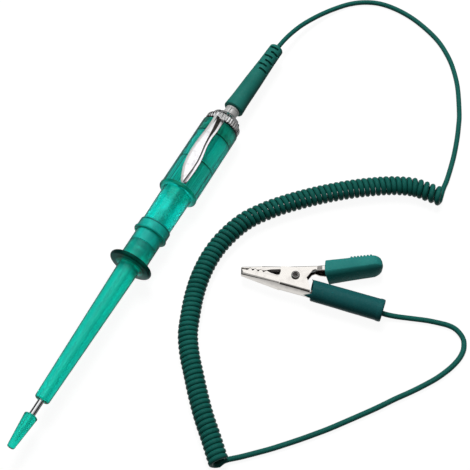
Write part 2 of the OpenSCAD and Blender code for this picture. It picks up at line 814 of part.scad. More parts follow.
module curly_cord() color([0.07, 0.35, 0.3]) swept(coil_route, coil_d / 2, 12);

module clip_lead() color([0.07, 0.35, 0.3]) swept(clip_route, cord_d / 2, 8);

// Crocodile clip

// Height of the parting line between the jaws
function part_line(u) = part_v + (u - part_u) * part_slope;

// How far a flat of a given width cuts a tooth's point back
function tooth_cut(flat) = tooth_h * flat / tooth_pitch;

// The toothed edge from the first tooth to the tip, lifted off the parting line, with the
// widths of the flats at its low points and at its high ones
function tooth_edge(lift, low_flat, high_flat) = [
    for (k = [0:teeth - 1], high = [0, 1], side = [-1, 1])
        if (k < teeth - 1 || high == 0)
            let (
                u = part_u + (k + high / 2) * tooth_pitch,
                flat = high == 1 ? high_flat : low_flat,
                v = part_line(u) + (high - 0.5) * (tooth_h - 2 * tooth_cut(flat)) + lift
            )
            [u + side * flat / 2, v]
];

// A folded jaw: its side view, less the same form one sheet thickness inside the fold
module folded(outer, hollow) {
    difference() {
        intersection() {
            linear_extrude(ear_w + 2, center = true) polygon(outer);
            rotate([90, 0, 0]) linear_extrude(40, center = true) children(0);
        }
        intersection() {
            linear_extrude(ear_w + 2, center = true) polygon(hollow);
            rotate([90, 0, 0]) linear_extrude(42, center = true) children(1);
        }
    }
}

module jaw_hole() cylinder(h = ear_w + 2, r = pin_r + fit, center = true, $fn = 48);

// A point beside the lower boot's axis, at a distance along it
function along_boot(d, off) = boot_front + d * [cos(boot_dir), sin(boot_dir)]
    + off * [sin(boot_dir), -cos(boot_dir)];

// The lower jaw's outer edge from its nose to the end of its tail
function lower_spine(more) = [
    [jaw_len, nose_low], [4.9, -3.07], along_boot(0, tail_floor),
    along_boot(tail_len + more, tail_floor)
];

// A place on the window between the ears and the first tooth, as a share of that length
function window_u(t) = ear_front + 0.2 + t * (part_u - ear_front - 0.2);

// Plan of the lower jaw about its middle plane; its hollow is open behind the ears
module lower_plan(inset) {
    rear = ear_rear - (inset > 0 ? ear_notch : 0);
    both_sides([
        [along_boot(tail_len, 0).x - 2, tail_half - inset], [rear, tail_half - inset],
        [rear, ear_half - inset], [taper_u, ear_half - inset], [jaw_len - inset, nose_half - inset]
    ]);
}

module lower_jaw() {
    crimp_wall = 0.5;
    crimp_len = 3;
    crimp_inset = 0.2;
    crimp_r = cord_d / 2 + fit + crimp_wall;
    crimp = along_boot(tail_len - crimp_inset - crimp_len, crimp_off);
    outer = concat(
        lower_spine(0),
        [
            along_boot(tail_len, tail_rim), along_boot(0.2, tail_rim), [-4.6, -3.85],
            [-4.4, -2.95], [-3.8, -1.1], [-3, 0.2], [-0.7, 2.55], [0, 2.85],
            [ear_front - 0.4, 2.95], [ear_front - 0.05, 2.7], [ear_front, 2], [ear_front - 0.1, 1.1],
            [window_u(0.02), -0.1], [window_u(0.13), -0.25], [window_u(0.57), 0.55],
            [window_u(0.8), 1.28]
        ],
        tooth_edge(-tooth_gap, tooth_root, lower_flat),
        [
            [jaw_len - 1.4, nose_part - tooth_gap], [jaw_len - 0.15, nose_part - tooth_gap],
            [jaw_len, nose_part - 0.2]
        ]
    );
    hollow = concat(beside(lower_spine(1), -jaw_t), [[-20, 8], [jaw_len, 8]]);
    color([0.8, 0.8, 0.82]) clip_frame() difference() {
        union() {
            folded(outer, hollow) {
                lower_plan(0);
                lower_plan(jaw_t);
            }
            translate([crimp.x, crimp.y, 0]) rotate([0, 0, boot_dir]) rotate([0, 90, 0])
                rotate([0, 0, 30]) rotate_extrude(angle = 300)
                    translate([crimp_r - crimp_wall, 0]) square([crimp_wall, crimp_len]);
        }
        jaw_hole();
    }
}

// The upper jaw's outer edge from its nose to the end of its lever
function upper_spine(more) = [
    [jaw_len - 0.4, nose_top], [11, 2.82], [3.5, 3.2], [-5.8, 4.05], [-9.4, 4.25],
    [-9.4, 4.25] + (10 + more) * [cos(pad_dir), sin(pad_dir)]
];

// Plan of the upper jaw: narrow enough for the ears, as wide as the lower one in front of
// them and flared to fill its boot behind them
module upper_plan(inset) {
    meet = taper_u + (ear_half - inner_half) / (ear_half - nose_half) * (jaw_len - taper_u);
    both_sides([
        [-22, flare_half - inset], [flare_u - 1.6, flare_half - inset],
        [flare_u, inner_half - inset], [meet, inner_half - inset], [jaw_len - inset, nose_half - inset]
    ]);
}

module upper_jaw() {
    lever_end = upper_spine(0)[5];
    outer = concat(
        [[jaw_len, nose_part + tooth_gap], [jaw_len, nose_top - 0.28]],
        upper_spine(0),
        [
            lever_end + [-0.4, -1.6], [-9.4, 2.6], [-7.7, 2.6], [-6.3, 2.9], [-5.4, 2.5],
            [-3.6, -0.1], [-2.4, -1.9], [-0.6, -2.3], [1.4, -1.9], [ear_front - 0.4, 2.08],
            [window_u(0.03), 2.15], [window_u(0.55), 1.9], [window_u(0.8), 1.55]
        ],
        tooth_edge(tooth_gap, upper_flat, tooth_root)
    );
    hollow = concat(
        [[jaw_len, nose_top - jaw_t + 0.03]], beside(upper_spine(1), jaw_t),
        [[-22, -8], [jaw_len, -8]]
    );
    color([0.8, 0.8, 0.82]) clip_frame() difference() {
        folded(outer, hollow) {
            upper_plan(0);
            upper_plan(jaw_t);
        }
        jaw_hole();
    }
}

module jaw_pin() {
    top = ear_half + lug;
    bead = pin_rim / 2;
    color([0.85, 0.85, 0.86]) clip_frame() difference() {
        union() {
            translate([0, 0, -top]) cylinder(h = 2 * top + bead, r = pin_r, $fn = 48);
            translate([0, 0, top + bead]) rotate_extrude($fn = 48)
                translate([pin_r, 0]) circle(bead, $fn = 24);
            translate([0, 0, -top - pin_head]) cylinder(h = pin_head, r = pin_r + 0.6, $fn = 48);
        }
        cylinder(h = ear_w + 4, r = pin_bore_r, center = true, $fn = 32);
    }
}

module jaw_spring() {
    r = 1.65;
    turns = 4;
    steps = 12;
    rise = (2 * (inner_half - jaw_t) - jaw_wire - 0.2) / (turns * steps + 6);
    low = -rise * (turns * steps + 6) / 2;
    first = 250;
    coil = [
        for (i = [0:turns * steps + 6])
            let (a = first + 360 * i / steps) [r * cos(a), r * sin(a), low + rise * i]
    ];
    legs = [[[-4.3, -4.5, low], [-2.6, -3, low]], [[-4, 2, -low], [-7, 3.25, -low]]];
    route = concat(legs[0], coil, legs[1]);
    color([0.7, 0.7, 0.72]) clip_frame() swept(route, jaw_wire / 2, 6);
}

module lower_boot() {
    front_r = boot_front_d / 2;
    rear_r = boot_rear_d / 2;
    lip = 0.35;
    wall_r = front_r - boot_t / 2;
    tab_at = 61;
    tab_droop = 22;
    tab_r = 0.55;
    tab_root = 0.8;
    color([0.1, 0.33, 0.33]) clip_frame()
        translate([boot_front.x, boot_front.y, 0]) rotate([0, 0, boot_dir]) union() {
            turned([
                [front_r - boot_t, 0], [front_r - 0.2, 0], [front_r, 0.2],
                [rear_r - 0.1, boot_len - 1.6], [rear_r, boot_len - 1.4],
                [rear_r, boot_len - lip], [rear_r - lip, boot_len], [rear_r - boot_t, boot_len]
            ]);
            translate([0, wall_r * sin(tab_at), wall_r * cos(tab_at)])
                rotate([0, -90 - tab_droop, 0]) translate([0, 0, -tab_root])
                cylinder(h = tab_len + tab_root, r1 = tab_r, r2 = 0.1, $fn = 24);
        }
}

// A cross-section of the upper boot, at a distance along it
module pad_slice(at, half_h, half_z, corner) {
    translate([at, 0, 0]) rotate([0, 90, 0]) linear_extrude(slice_t)
        for (a = [-1, 1], b = [-1, 1])
            translate([a * (half_z - corner), b * (half_h - corner)]) circle(corner, $fn = 24);
}

// The boot's outer or inner form
module pad_form(inset, from) {
    corner = pad_corner - inset;
    half_z = pad_half_z - inset;
    rear = pad_rear_h / 2 - inset;
    end = pad_len - inset;
    round_len = 2.6;
    hull() {
        pad_slice(from, pad_front_h / 2 - inset, half_z, corner);
        pad_slice(end - round_len, rear, half_z, corner);
        pad_slice(end - round_len * 0.4, rear - 0.5, half_z - 0.7, corner - 0.2);
        pad_slice(end - slice_t, rear - 1.3, half_z - 1.6, corner - 0.6);
    }
}

module upper_boot() {
    ridge = 1.05;
    first = pad_len - 10;
    top = pad_rear_h / 2 + 0.1;
    ridge_line = [
        for (i = [0:pad_ridges - 1], k = [0, 1])
            [first + (i + k * 0.75) * ridge, -(top + (k == 0 ? ridge_h : 0.05))]
    ];
    color([0.1, 0.35, 0.33]) clip_frame() difference() {
        translate([pad_front.x, pad_front.y, 0]) rotate([0, 0, pad_dir]) difference() {
            union() {
                pad_form(0, -1.6);
                linear_extrude(2 * (pad_half_z - pad_corner), center = true) polygon(concat(
                    [[first - 0.8, -1]], [[first - 0.5, -top]], ridge_line,
                    [[first + pad_ridges * ridge + 0.3, -1]]
                ));
            }
            pad_form(boot_t, -3);
        }
        translate([mouth_u, -10, pad_half_z]) rotate([0, mouth_lean, 0]) translate([0, 0, -20])
            cube([10, 30, 30]);
    }
}

tip_cap();
probe_needle();
probe_sleeve();
front_collar();
lamp_barrel();
handle();
lamp();
lamp_socket();
contact_strip();
contact_spring();
rear_terminal();
inner_lead();
pocket_clip();
end_cap();
neck_bush();
ferrule();
strain_relief();
cord_lead();
curly_cord();
clip_lead();
lower_jaw();
upper_jaw();
jaw_pin();
jaw_spring();
lower_boot();
upper_boot();
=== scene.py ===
"""Looks of a pen-shaped test light with a curly lead and a crocodile clip.

The clear pen body, the plated clip and cap, the lamp and its contacts, the lead and the clip's boots are
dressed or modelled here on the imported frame, in metres, in the frame's own coordinates.
"""

import logging
import math
from collections.abc import Callable, Iterator, Sequence
from contextlib import contextmanager
from dataclasses import dataclass
from enum import Enum
from functools import cache
from itertools import pairwise
from typing import Any

import bmesh
import bpy
from mathutils import Matrix, Vector

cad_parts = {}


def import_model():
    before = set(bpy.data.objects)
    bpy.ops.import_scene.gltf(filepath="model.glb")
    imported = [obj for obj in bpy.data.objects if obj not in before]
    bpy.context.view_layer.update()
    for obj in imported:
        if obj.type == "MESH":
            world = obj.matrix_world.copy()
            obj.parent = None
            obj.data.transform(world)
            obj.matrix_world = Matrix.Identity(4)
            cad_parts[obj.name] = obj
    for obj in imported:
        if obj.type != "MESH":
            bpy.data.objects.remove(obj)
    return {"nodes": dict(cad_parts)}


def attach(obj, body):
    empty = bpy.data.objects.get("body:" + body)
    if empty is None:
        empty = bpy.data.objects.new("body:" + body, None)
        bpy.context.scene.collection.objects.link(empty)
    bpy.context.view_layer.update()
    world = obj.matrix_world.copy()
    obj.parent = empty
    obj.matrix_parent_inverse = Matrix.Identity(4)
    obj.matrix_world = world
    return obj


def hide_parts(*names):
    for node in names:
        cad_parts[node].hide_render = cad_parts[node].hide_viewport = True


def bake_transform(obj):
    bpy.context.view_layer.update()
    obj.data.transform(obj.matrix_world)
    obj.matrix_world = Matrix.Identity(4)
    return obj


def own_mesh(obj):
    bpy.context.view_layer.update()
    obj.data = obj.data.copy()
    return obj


MM = 0.001
log = logging.getLogger("test_light")

Obj = bpy.types.Object
Node = bpy.types.Node
Socket = bpy.types.NodeSocket
Outputs = bpy.types.NodeOutputs
Pair = tuple[float, float]
Triple = tuple[float, float, float]
Colour = Triple

# Places of a piece's second and third finish among its materials
SECOND, THIRD = 1, 2


class Body(Enum):
    """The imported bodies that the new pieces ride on."""

    TESTER = "tester"
    LEVER = "lever"


class Slot(Enum):
    """The record's material slots."""

    CLEAR_GREEN = "clear_green"
    CLEAR_TEAL = "clear_teal"
    STEEL = "steel"
    CHROME = "chrome"
    PLATED = "plated_steel"
    CONTACT = "contact_plate"
    LAMP_GLASS = "lamp_glass"
    RELIEF = "relief_green"
    CORD = "cord_green"
    BOOT = "boot_green"


def turn(degrees: float, axis: str) -> Matrix:
    """A turn about an axis through the origin."""
    return Matrix.Rotation(math.radians(degrees), 4, axis)


def shift(*place: float) -> Matrix:
    """A move given in millimetres."""
    return Matrix.Translation(Vector(place) * MM)


@dataclass(frozen=True)
class PenPlace:
    """Where the pen's own axis lies: its stations run from the guard flange's front face."""

    x: float = -15.690
    z: float = 7.4107
    slope: float = 0.814

    def matrix(self) -> Matrix:
        """Turns a shape drawn along Z, with the pen's top towards -X, onto the pen's axis."""
        return shift(self.x, 0, self.z) @ turn(self.slope, "Y") @ turn(90, "Y")


@dataclass(frozen=True)
class ClipPlace:
    """Where the crocodile clip lies: u runs to the jaws' tip, v to the upper jaw, z up."""

    pivot: Pair = (7.2, -47.4)
    heading: float = 115.0
    mid_z: float = 3.7

    def matrix(self) -> Matrix:
        """Turns a shape drawn as (u, -v, z) into the part's frame."""
        return shift(*self.pivot, self.mid_z) @ turn(self.heading, "Z")

    def flat(self, u: float, v: float, direction: float) -> Matrix:
        """Turns a shape drawn along X onto an axis from (u, v), headed in degrees from u towards v."""
        return self.matrix() @ shift(u, -v, 0) @ turn(-direction, "Z")


PEN = PenPlace()
CLIP = ClipPlace()


def clear() -> None:
    """Leaves nothing selected."""
    bpy.ops.object.select_all(action="DESELECT")
    bpy.context.view_layer.objects.active = None


class Piece:
    """One piece in the making, shaped with the usual edit tools."""

    # Radius of an end that is drawn to a point, sides of a wire, and steps of a turn
    POINT = 0.02
    WIRE_SIDES = 10
    TURN_STEPS = 32
    # How near two points merge in millimetres, and under what angle in degrees two faces make one
    MERGE = 0.002
    FLAT = 0.8
    # Longest facet that is a part of a circle, how near a ring must lie, and how deep a facet can sag
    FACET = 1.5
    RING_NEAR = 0.011
    SAG = (0.005, 0.03)

    def __init__(self, name: str, thing: Obj) -> None:
        """Takes over a new object and names it.

        Args:
            name: Name of the piece.
            thing: The new object.
        """
        self.thing = thing
        self.slot = ""
        thing.name = thing.data.name = name

    @classmethod
    def turned(cls, name: str, stations: Sequence[Pair], sides: int = 48) -> "Piece":
        """Draws out a ring along Z, station by station, as on a lathe.

        Args:
            name: Name of the piece.
            stations: Pairs of radius and height, in millimetres. A radius of 0 closes an end.
            sides: Number of sides of the ring.

        Returns:
            The open or closed turned shell.
        """
        clear()
        radius, height = stations[0][0] or cls.POINT, stations[0][1]
        bpy.ops.mesh.primitive_circle_add(
            vertices=sides, radius=radius * MM, fill_type="NOTHING", location=(0, 0, height * MM)
        )
        piece = cls(name, bpy.context.object)
        bpy.ops.object.transform_apply(location=True, rotation=True, scale=True)
        with piece.editing():
            bpy.ops.mesh.select_all(action="SELECT")
            if not stations[0][0]:
                bpy.ops.mesh.edge_face_add()
                piece.choose("EDGE", lambda e: True)
            for wanted, new_height in stations[1:]:
                step = Vector((0, 0, (new_height - height) * MM))
                bpy.ops.mesh.extrude_edges_move(TRANSFORM_OT_translate={"value": step})
                share = (wanted or cls.POINT) / radius
                bpy.ops.transform.resize(value=(share, share, 1), center_override=(0, 0, new_height * MM))
                if not wanted:
                    bpy.ops.mesh.edge_face_add()
                radius, height = wanted or cls.POINT, new_height
            piece.outwards()
        return piece

    @classmethod
    def wound(
        cls, name: str, wire: float, radius: float, start: float, pitch: float, turns: int
    ) -> "Piece":
        """Winds a round wire about Z with a screw, and closes its two ends.

        Args:
            name: Name of the piece.
            wire: Wire diameter in millimetres.
            radius: Radius of the wire's middle line in millimetres.
            start: Height of the first end in millimetres.
            pitch: Rise of each turn in millimetres.
            turns: Number of whole turns.

        Returns:
            The wound wire.
        """
        clear()
        bpy.ops.mesh.primitive_circle_add(
            vertices=cls.WIRE_SIDES, radius=wire / 2 * MM, fill_type="NOTHING",
            location=(radius * MM, 0, start * MM), rotation=(math.radians(90), 0, 0),
        )
        piece = cls(name, bpy.context.object)
        bpy.ops.object.transform_apply(location=True, rotation=True, scale=True)
        piece.applied("SCREW", axis="Z", angle=math.tau, iterations=turns, screw_offset=pitch * MM,
                      steps=cls.TURN_STEPS, render_steps=cls.TURN_STEPS)
        with piece.editing():
            piece.choose("EDGE", lambda e: e.is_boundary)
            bpy.ops.mesh.edge_face_add()
            piece.outwards()
        return piece

    @classmethod
    def copied(cls, name: str, node: Obj) -> "Piece":
        """Copies a CAD node's shape, with its loose triangles merged into whole faces.

        Args:
            name: Name of the new piece.
            node: The CAD node.

        Returns:
            The copy.
        """
        piece = cls(name, bpy.data.objects.new(name, node.data.copy()))
        bpy.context.scene.collection.objects.link(piece.thing)
        with piece.editing():
            bpy.ops.mesh.select_all(action="SELECT")
            bpy.ops.mesh.remove_doubles(threshold=cls.MERGE * MM)
            bpy.ops.mesh.dissolve_limited(angle_limit=math.radians(cls.FLAT))
        return piece

    @classmethod
    def joined(cls, name: str, pieces: Sequence["Piece"]) -> "Piece":
        """Joins what is one real piece into one mesh.

        Args:
            name: Name of the piece.
            pieces: The pieces to join.

        Returns:
            The joined piece.
        """
        pieces[0].pick()
        for piece in pieces[1:]:
            piece.thing.select_set(True)
        bpy.ops.object.join()
        return cls(name, bpy.context.object)

    def pick(self) -> None:
        """Selects this piece alone and makes it active."""
        clear()
        self.thing.select_set(True)
        bpy.context.view_layer.objects.active = self.thing

    @contextmanager
    def editing(self) -> Iterator[None]:
        """Keeps the piece in edit mode for a while.

        Returns:
            A context without a value.
        """
        self.pick()
        bpy.ops.object.mode_set(mode="EDIT")
        yield
        bpy.ops.object.mode_set(mode="OBJECT")

    @contextmanager
    def shape(self) -> Iterator[bmesh.types.BMesh]:
        """Gives the mesh in edit mode to move its points, and shows the change.

        Returns:
            A context whose value is the mesh.
        """
        shape = bmesh.from_edit_mesh(self.thing.data)
        yield shape
        bmesh.update_edit_mesh(self.thing.data)

    def choose(self, kind: str, test: Callable[[Any], bool]) -> int:
        """Selects the elements in edit mode that pass a test.

        Args:
            kind: One of "FACE", "EDGE" and "VERT".
            test: Says whether an element is wanted.

        Returns:
            How many were selected.
        """
        bpy.ops.mesh.select_mode(type=kind)
        bpy.ops.mesh.select_all(action="DESELECT")
        with self.shape() as shape:
            found = [e for e in getattr(shape, kind.lower() + "s") if test(e)]
            for element in found:
                element.select_set(True)
            shape.select_flush_mode()
        return len(found)

    @staticmethod
    def outwards() -> None:
        """Turns every face in edit mode outwards."""
        bpy.ops.mesh.select_all(action="SELECT")
        bpy.ops.mesh.normals_make_consistent(inside=False)

    @staticmethod
    def sliced(place: Vector, normal: Vector, drop: bool = False) -> None:
        """Cuts the faces in edit mode along a plane, and can drop what lies on its normal's side."""
        bpy.ops.mesh.select_all(action="SELECT")
        bpy.ops.mesh.bisect(plane_co=place, plane_no=normal, clear_outer=drop)

    def drawn_out(self, step: Vector, share: Triple = (1, 1, 1)) -> None:
        """Extrudes the selected faces by a step in millimetres, and scales them about their middle.

        Args:
            step: The way to go.
            share: The scale by axis.
        """
        bpy.ops.mesh.extrude_region_move(TRANSFORM_OT_translate={"value": step * MM})
        chosen = [v.co for v in bmesh.from_edit_mesh(self.thing.data).verts if v.select]
        bpy.ops.transform.resize(value=share, center_override=sum(chosen, Vector()) / len(chosen))

    def slid(self, first: float, last: float, forward: float) -> None:
        """Slides what lies between two stations forward along the pen.

        Args:
            first: Station in front of which nothing moves.
            last: Station behind which nothing moves.
            forward: How far it slides, in millimetres.
        """
        back = PEN.matrix().inverted()
        with self.editing():
            self.choose("VERT", lambda v: first < (back @ v.co).z / MM < last)
            bpy.ops.transform.translate(value=PEN.matrix().to_3x3() @ Vector((0, 0, -forward * MM)))

    def rounded(self, cuts: int) -> None:
        """Cuts the facets round the pen's axis finer and puts the new points on their circles.

        Args:
            cuts: How many times each facet is cut.
        """
        place = PEN.matrix()
        back = place.inverted()
        least, most = self.SAG

        def ring(vert: bmesh.types.BMVert) -> Pair:
            """The point's station and radius in millimetres."""
            at = back @ vert.co / MM
            return round(at.z, 2), round(math.hypot(at.x, at.y), 2)

        def facet(edge: bmesh.types.BMEdge) -> bool:
            """Whether an edge is a part of a circle round the axis."""
            return ring(edge.verts[0]) == ring(edge.verts[1]) and edge.calc_length() < self.FACET * MM

        with self.editing():
            self.choose("EDGE", facet)
            rings = {ring(v) for v in bmesh.from_edit_mesh(self.thing.data).verts}
            bpy.ops.mesh.subdivide(number_cuts=cuts)
            with self.shape() as shape:
                for vert in shape.verts:
                    at = back @ vert.co
                    station, radius = at.z / MM, math.hypot(at.x, at.y) / MM
                    near = [r for z, r in rings
                            if abs(z - station) < self.RING_NEAR and least <= r - radius < most]
                    if near:
                        share = min(near) / radius
                        vert.co = place @ Vector((at.x * share, at.y * share, at.z))

    def waved(self, depth: float, size: float, cuts: int = 0) -> None:
        """Gives a soft piece the slight unevenness of moulded vinyl.

        Args:
            depth: How far a place may move, in millimetres.
            size: Size of the waves in millimetres.
            cuts: How many times the faces are halved first.
        """
        if cuts:
            self.applied("SUBSURF", subdivision_type="SIMPLE", levels=cuts, render_levels=cuts)
        clouds = bpy.data.textures.new(self.thing.name, "CLOUDS")
        clouds.noise_scale, clouds.noise_depth = size * MM, 1
        self.applied("DISPLACE", texture=clouds, strength=depth * MM, mid_level=0.5, texture_coords="LOCAL")

    def applied(self, kind: str, **settings: Any) -> None:
        """Adds a modifier by Blender's name of its kind, and applies it.

        Args:
            kind: The kind.
            settings: The modifier's settings.
        """
        self.pick()
        modifier = self.thing.modifiers.new(kind.title(), kind)
        for key, value in settings.items():
            setattr(modifier, key, value)
        bpy.ops.object.modifier_apply(modifier=modifier.name)

    def settled(self, place: Matrix | None = None, smooth: float = 40.0) -> None:
        """Puts a finished shape in its place, with the place in its mesh, and smooths its shading.

        Args:
            place: Where it goes in the part's frame, if it isn't there yet.
            smooth: The angle in degrees below which edges are shaded smooth.
        """
        self.pick()
        self.thing.matrix_world = place or Matrix.Identity(4)
        bpy.ops.object.transform_apply(location=True, rotation=True, scale=True)
        bpy.ops.object.shade_smooth_by_angle(angle=math.radians(smooth))

    def dress(self, finish: "Finish", *others: "Finish") -> None:
        """Gives the piece its finish, and keeps the others ready for single faces."""
        self.slot = finish.slot.value
        finish.dress(self.thing, *others)

    def hand_over(self, body: Body | None, *nodes: str) -> Obj:
        """Hangs the piece on the body that it rides on, and hides the nodes that it stands for.

        Args:
            body: The body, or nothing for a piece that hangs on none.
            nodes: The CAD nodes that it stands for.

        Returns:
            The finished object.
        """
        if body:
            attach(self.thing, body.value)
        if nodes:
            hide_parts(*nodes)
        log.info("%s: %d faces", self.thing.name, len(self.thing.data.polygons))
        return self.thing


class Sheet:
    """A node tree being wired."""

    def __init__(self, tree: bpy.types.NodeTree) -> None:
        """Starts on a tree and empties it."""
        self.tree = tree
        tree.nodes.clear()

    def put(self, kind: str, inputs: dict[str | int, Any] | None = None, **settings: Any) -> Node:
        """Adds a node, sets it and joins its inputs.

        Args:
            kind: Blender's name of the node's kind, without its first word.
            inputs: Values, sockets or nodes by input name or number; a node stands for its first output.
            settings: The node's own settings.

        Returns:
            The new node.
        """
        node = self.tree.nodes.new(kind if kind.startswith("NodeGroup") else "ShaderNode" + kind)
        for key, value in settings.items():
            setattr(node, key, value)
        for key, value in (inputs or {}).items():
            if isinstance(value, Node):
                value = value.outputs[0]
            if isinstance(value, Socket):
                self.tree.links.new(value, node.inputs[key])
            else:
                node.inputs[key].default_value = value
        return node

    def place(self) -> Socket:
        """The piece's own coordinates."""
        return self.put("TexCoord").outputs["Object"]

    def noise(self, place: Socket, scale: Any, detail: float = 3.0) -> Socket:
        """A soft noise at a place, in features a metre and octaves."""
        return self.put("TexNoise", {"Vector": place, "Scale": scale, "Detail": detail}).outputs[0]

    def ramp(self, value: Any, low: float, high: float, to_low: Any = 0.0, to_high: Any = 1.0) -> Socket:
        """Maps a value from one range to another and stays inside it."""
        return self.put("MapRange", {0: value, 1: low, 2: high, 3: to_low, 4: to_high}).outputs[0]

    def mix(self, share: Any, one: Any, other: Any, way: str = "MIX") -> Socket:
        """Mixes some of a second colour into a first."""
        node = self.put("Mix", {0: share, 6: one, 7: other}, data_type="RGBA", blend_type=way)
        return node.outputs[2]

    def swap(self, share: Any, one: Any, other: Any) -> Socket:
        """Goes from one value to another."""
        return self.put("Mix", {0: share, 2: one, 3: other}).outputs[0]

    def math(self, way: str, one: Any, other: Any = 0.0) -> Socket:
        """Does one sum on two values."""
        return self.put("Math", {0: one, 1: other}, operation=way).outputs[0]

    def times(self, *values: Any) -> Socket:
        """Multiplies values one after the other.

        Args:
            values: The values or sockets.

        Returns:
            Their product.
        """
        result = values[0]
        for value in values[1:]:
            result = self.math("MULTIPLY", result, value)
        return result

    def bump(self, height: Socket, strength: float, depth: float, below: Node | None = None) -> Node:
        """Turns a height into a normal, on top of another bump if there is one.

        Args:
            height: The height to read.
            strength: How much of the bump shows.
            depth: Depth of the relief in metres.
            below: The bump that it lies on.

        Returns:
            The bump.
        """
        given = {"Normal": below} if below else {}
        return self.put("Bump", {"Strength": strength, "Distance": depth, "Height": height, **given})

    def effect(self, group: bpy.types.NodeTree, **inputs: Any) -> Outputs:
        """Adds a shared effect and gives its outputs by name."""
        return self.put("Group", inputs, node_tree=group).outputs

    def surface(self, inputs: dict[str, Any], volume: Node | None = None) -> None:
        """Ends the material with one body of plastic, metal or glass.

        Args:
            inputs: The body's values by name.
            volume: What fills it, if light goes through.
        """
        inside = {"Volume": volume} if volume else {}
        self.put("OutputMaterial", {"Surface": self.put("BsdfPrincipled", inputs), **inside})


class Effects:
    """Shader effects that more than one finish uses, each built once as a node group."""

    # Scratches: their two directions, how long they are drawn, and the noise that shows as a line
    scratch_turns = ((0.3, 0.2, 0.5), (1.4, 0.9, 2.1))
    scratch_stretch = (1.0, 0.06, 1.0)
    scratch_cut = (0.62, 0.72)
    # Wear: size of its patches, the noise that wears, and the shares of lines and patches in the sheen
    wear_scale = 260.0
    wear_cut = (0.45, 0.65)
    wear_shares = (0.5, 0.6)
    sheen_range = (0.2, 0.8)
    # Dust: how it lies by slope, its specks, its patches and its colour
    dust_slope = (-0.2, 1.0, 0.25, 1.0)
    dust_speck = (0.45, 0.75)
    dust_patch = (0.3, 0.7, 0.4, 1.0)
    dust_scales = (1400.0, 120.0)
    dust_colour = (0.62, 0.66, 0.64, 1.0)
    mottle_range = (0.3, 0.7)
    # Octaves of the noises
    wear_detail, dust_detail, mottle_detail = 4.0, 6.0, 5.0

    @staticmethod
    def start(name: str, inputs: dict[str, Any], outputs: dict[str, str]) -> tuple[Sheet, Outputs]:
        """Starts a node group with named inputs and outputs.

        Args:
            name: Name of the group.
            inputs: Defaults by name, each a value or a colour.
            outputs: Socket kind by name.

        Returns:
            The sheet and the group's inputs by name.
        """
        group = bpy.data.node_groups.new(name, "ShaderNodeTree")
        for key, default in inputs.items():
            kind = "NodeSocketFloat" if isinstance(default, float) else "NodeSocketColor"
            group.interface.new_socket(key, in_out="INPUT", socket_type=kind).default_value = default
        for key, kind in outputs.items():
            group.interface.new_socket(key, in_out="OUTPUT", socket_type="NodeSocket" + kind)
        sheet = Sheet(group)
        return sheet, sheet.put("NodeGroupInput").outputs

    @classmethod
    @cache
    def scuffs(cls) -> bpy.types.NodeTree:
        """Builds fine crossing scratches and a soft grain, as a height and a roughness.

        Returns:
            The node group.
        """
        sheet, given = cls.start("scuffs", {"Scale": 900.0, "Smooth": 0.1, "Rough": 0.25},
                                 {"Height": "Float", "Roughness": "Float"})
        place = sheet.place()
        heights = []
        for angles in cls.scratch_turns:
            laid = sheet.put("Mapping", {"Vector": place, "Rotation": angles, "Scale": cls.scratch_stretch})
            heights.append(sheet.ramp(sheet.noise(laid.outputs[0], given["Scale"], 2.0), *cls.scratch_cut))
        cloud = sheet.noise(place, cls.wear_scale, cls.wear_detail)
        worn = sheet.times(sheet.math("MAXIMUM", *heights), sheet.ramp(cloud, *cls.wear_cut))
        lines, patches = cls.wear_shares
        share = sheet.math("ADD", sheet.times(worn, lines), sheet.times(cloud, patches))
        rough = sheet.ramp(share, *cls.sheen_range, given["Smooth"], given["Rough"])
        sheet.put("NodeGroupOutput", {"Height": sheet.math("SUBTRACT", 1.0, worn), "Roughness": rough})
        return sheet.tree

    @classmethod
    @cache
    def dust(cls) -> bpy.types.NodeTree:
        """Builds a thin pale haze on what faces up, as a colour and a mask.

        Returns:
            The node group.
        """
        sheet, given = cls.start("dust", {"Colour": (0.1, 0.1, 0.1, 1), "Amount": 0.1},
                                 {"Colour": "Color", "Mask": "Float"})
        place = sheet.place()
        up = sheet.put("SeparateXYZ", {0: sheet.put("NewGeometry").outputs["Normal"]}).outputs[2]
        fine, broad = cls.dust_scales
        mask = sheet.times(
            sheet.ramp(up, *cls.dust_slope),
            sheet.ramp(sheet.noise(place, fine, cls.dust_detail), *cls.dust_speck),
            sheet.ramp(sheet.noise(place, broad), *cls.dust_patch), given["Amount"],
        )
        pale = sheet.mix(mask, given["Colour"], cls.dust_colour)
        sheet.put("NodeGroupOutput", {"Colour": pale, "Mask": mask})
        return sheet.tree

    @classmethod
    @cache
    def mottle(cls) -> bpy.types.NodeTree:
        """Builds slow and quick changes of a colour over a piece.

        Returns:
            The node group.
        """
        sheet, given = cls.start(
            "mottle", {"Colour": (0.1, 0.1, 0.1, 1), "Other": (0.2, 0.2, 0.2, 1), "Scale": 150.0},
            {"Colour": "Color", "Value": "Float"},
        )
        slow = sheet.noise(sheet.place(), given["Scale"], cls.mottle_detail)
        value = sheet.ramp(slow, *cls.mottle_range)
        mixed = sheet.mix(value, given["Colour"], given["Other"])
        sheet.put("NodeGroupOutput", {"Colour": mixed, "Value": value})
        return sheet.tree


def full(colour: Colour) -> tuple[float, float, float, float]:
    """A colour with its alpha."""
    return (*colour, 1.0)


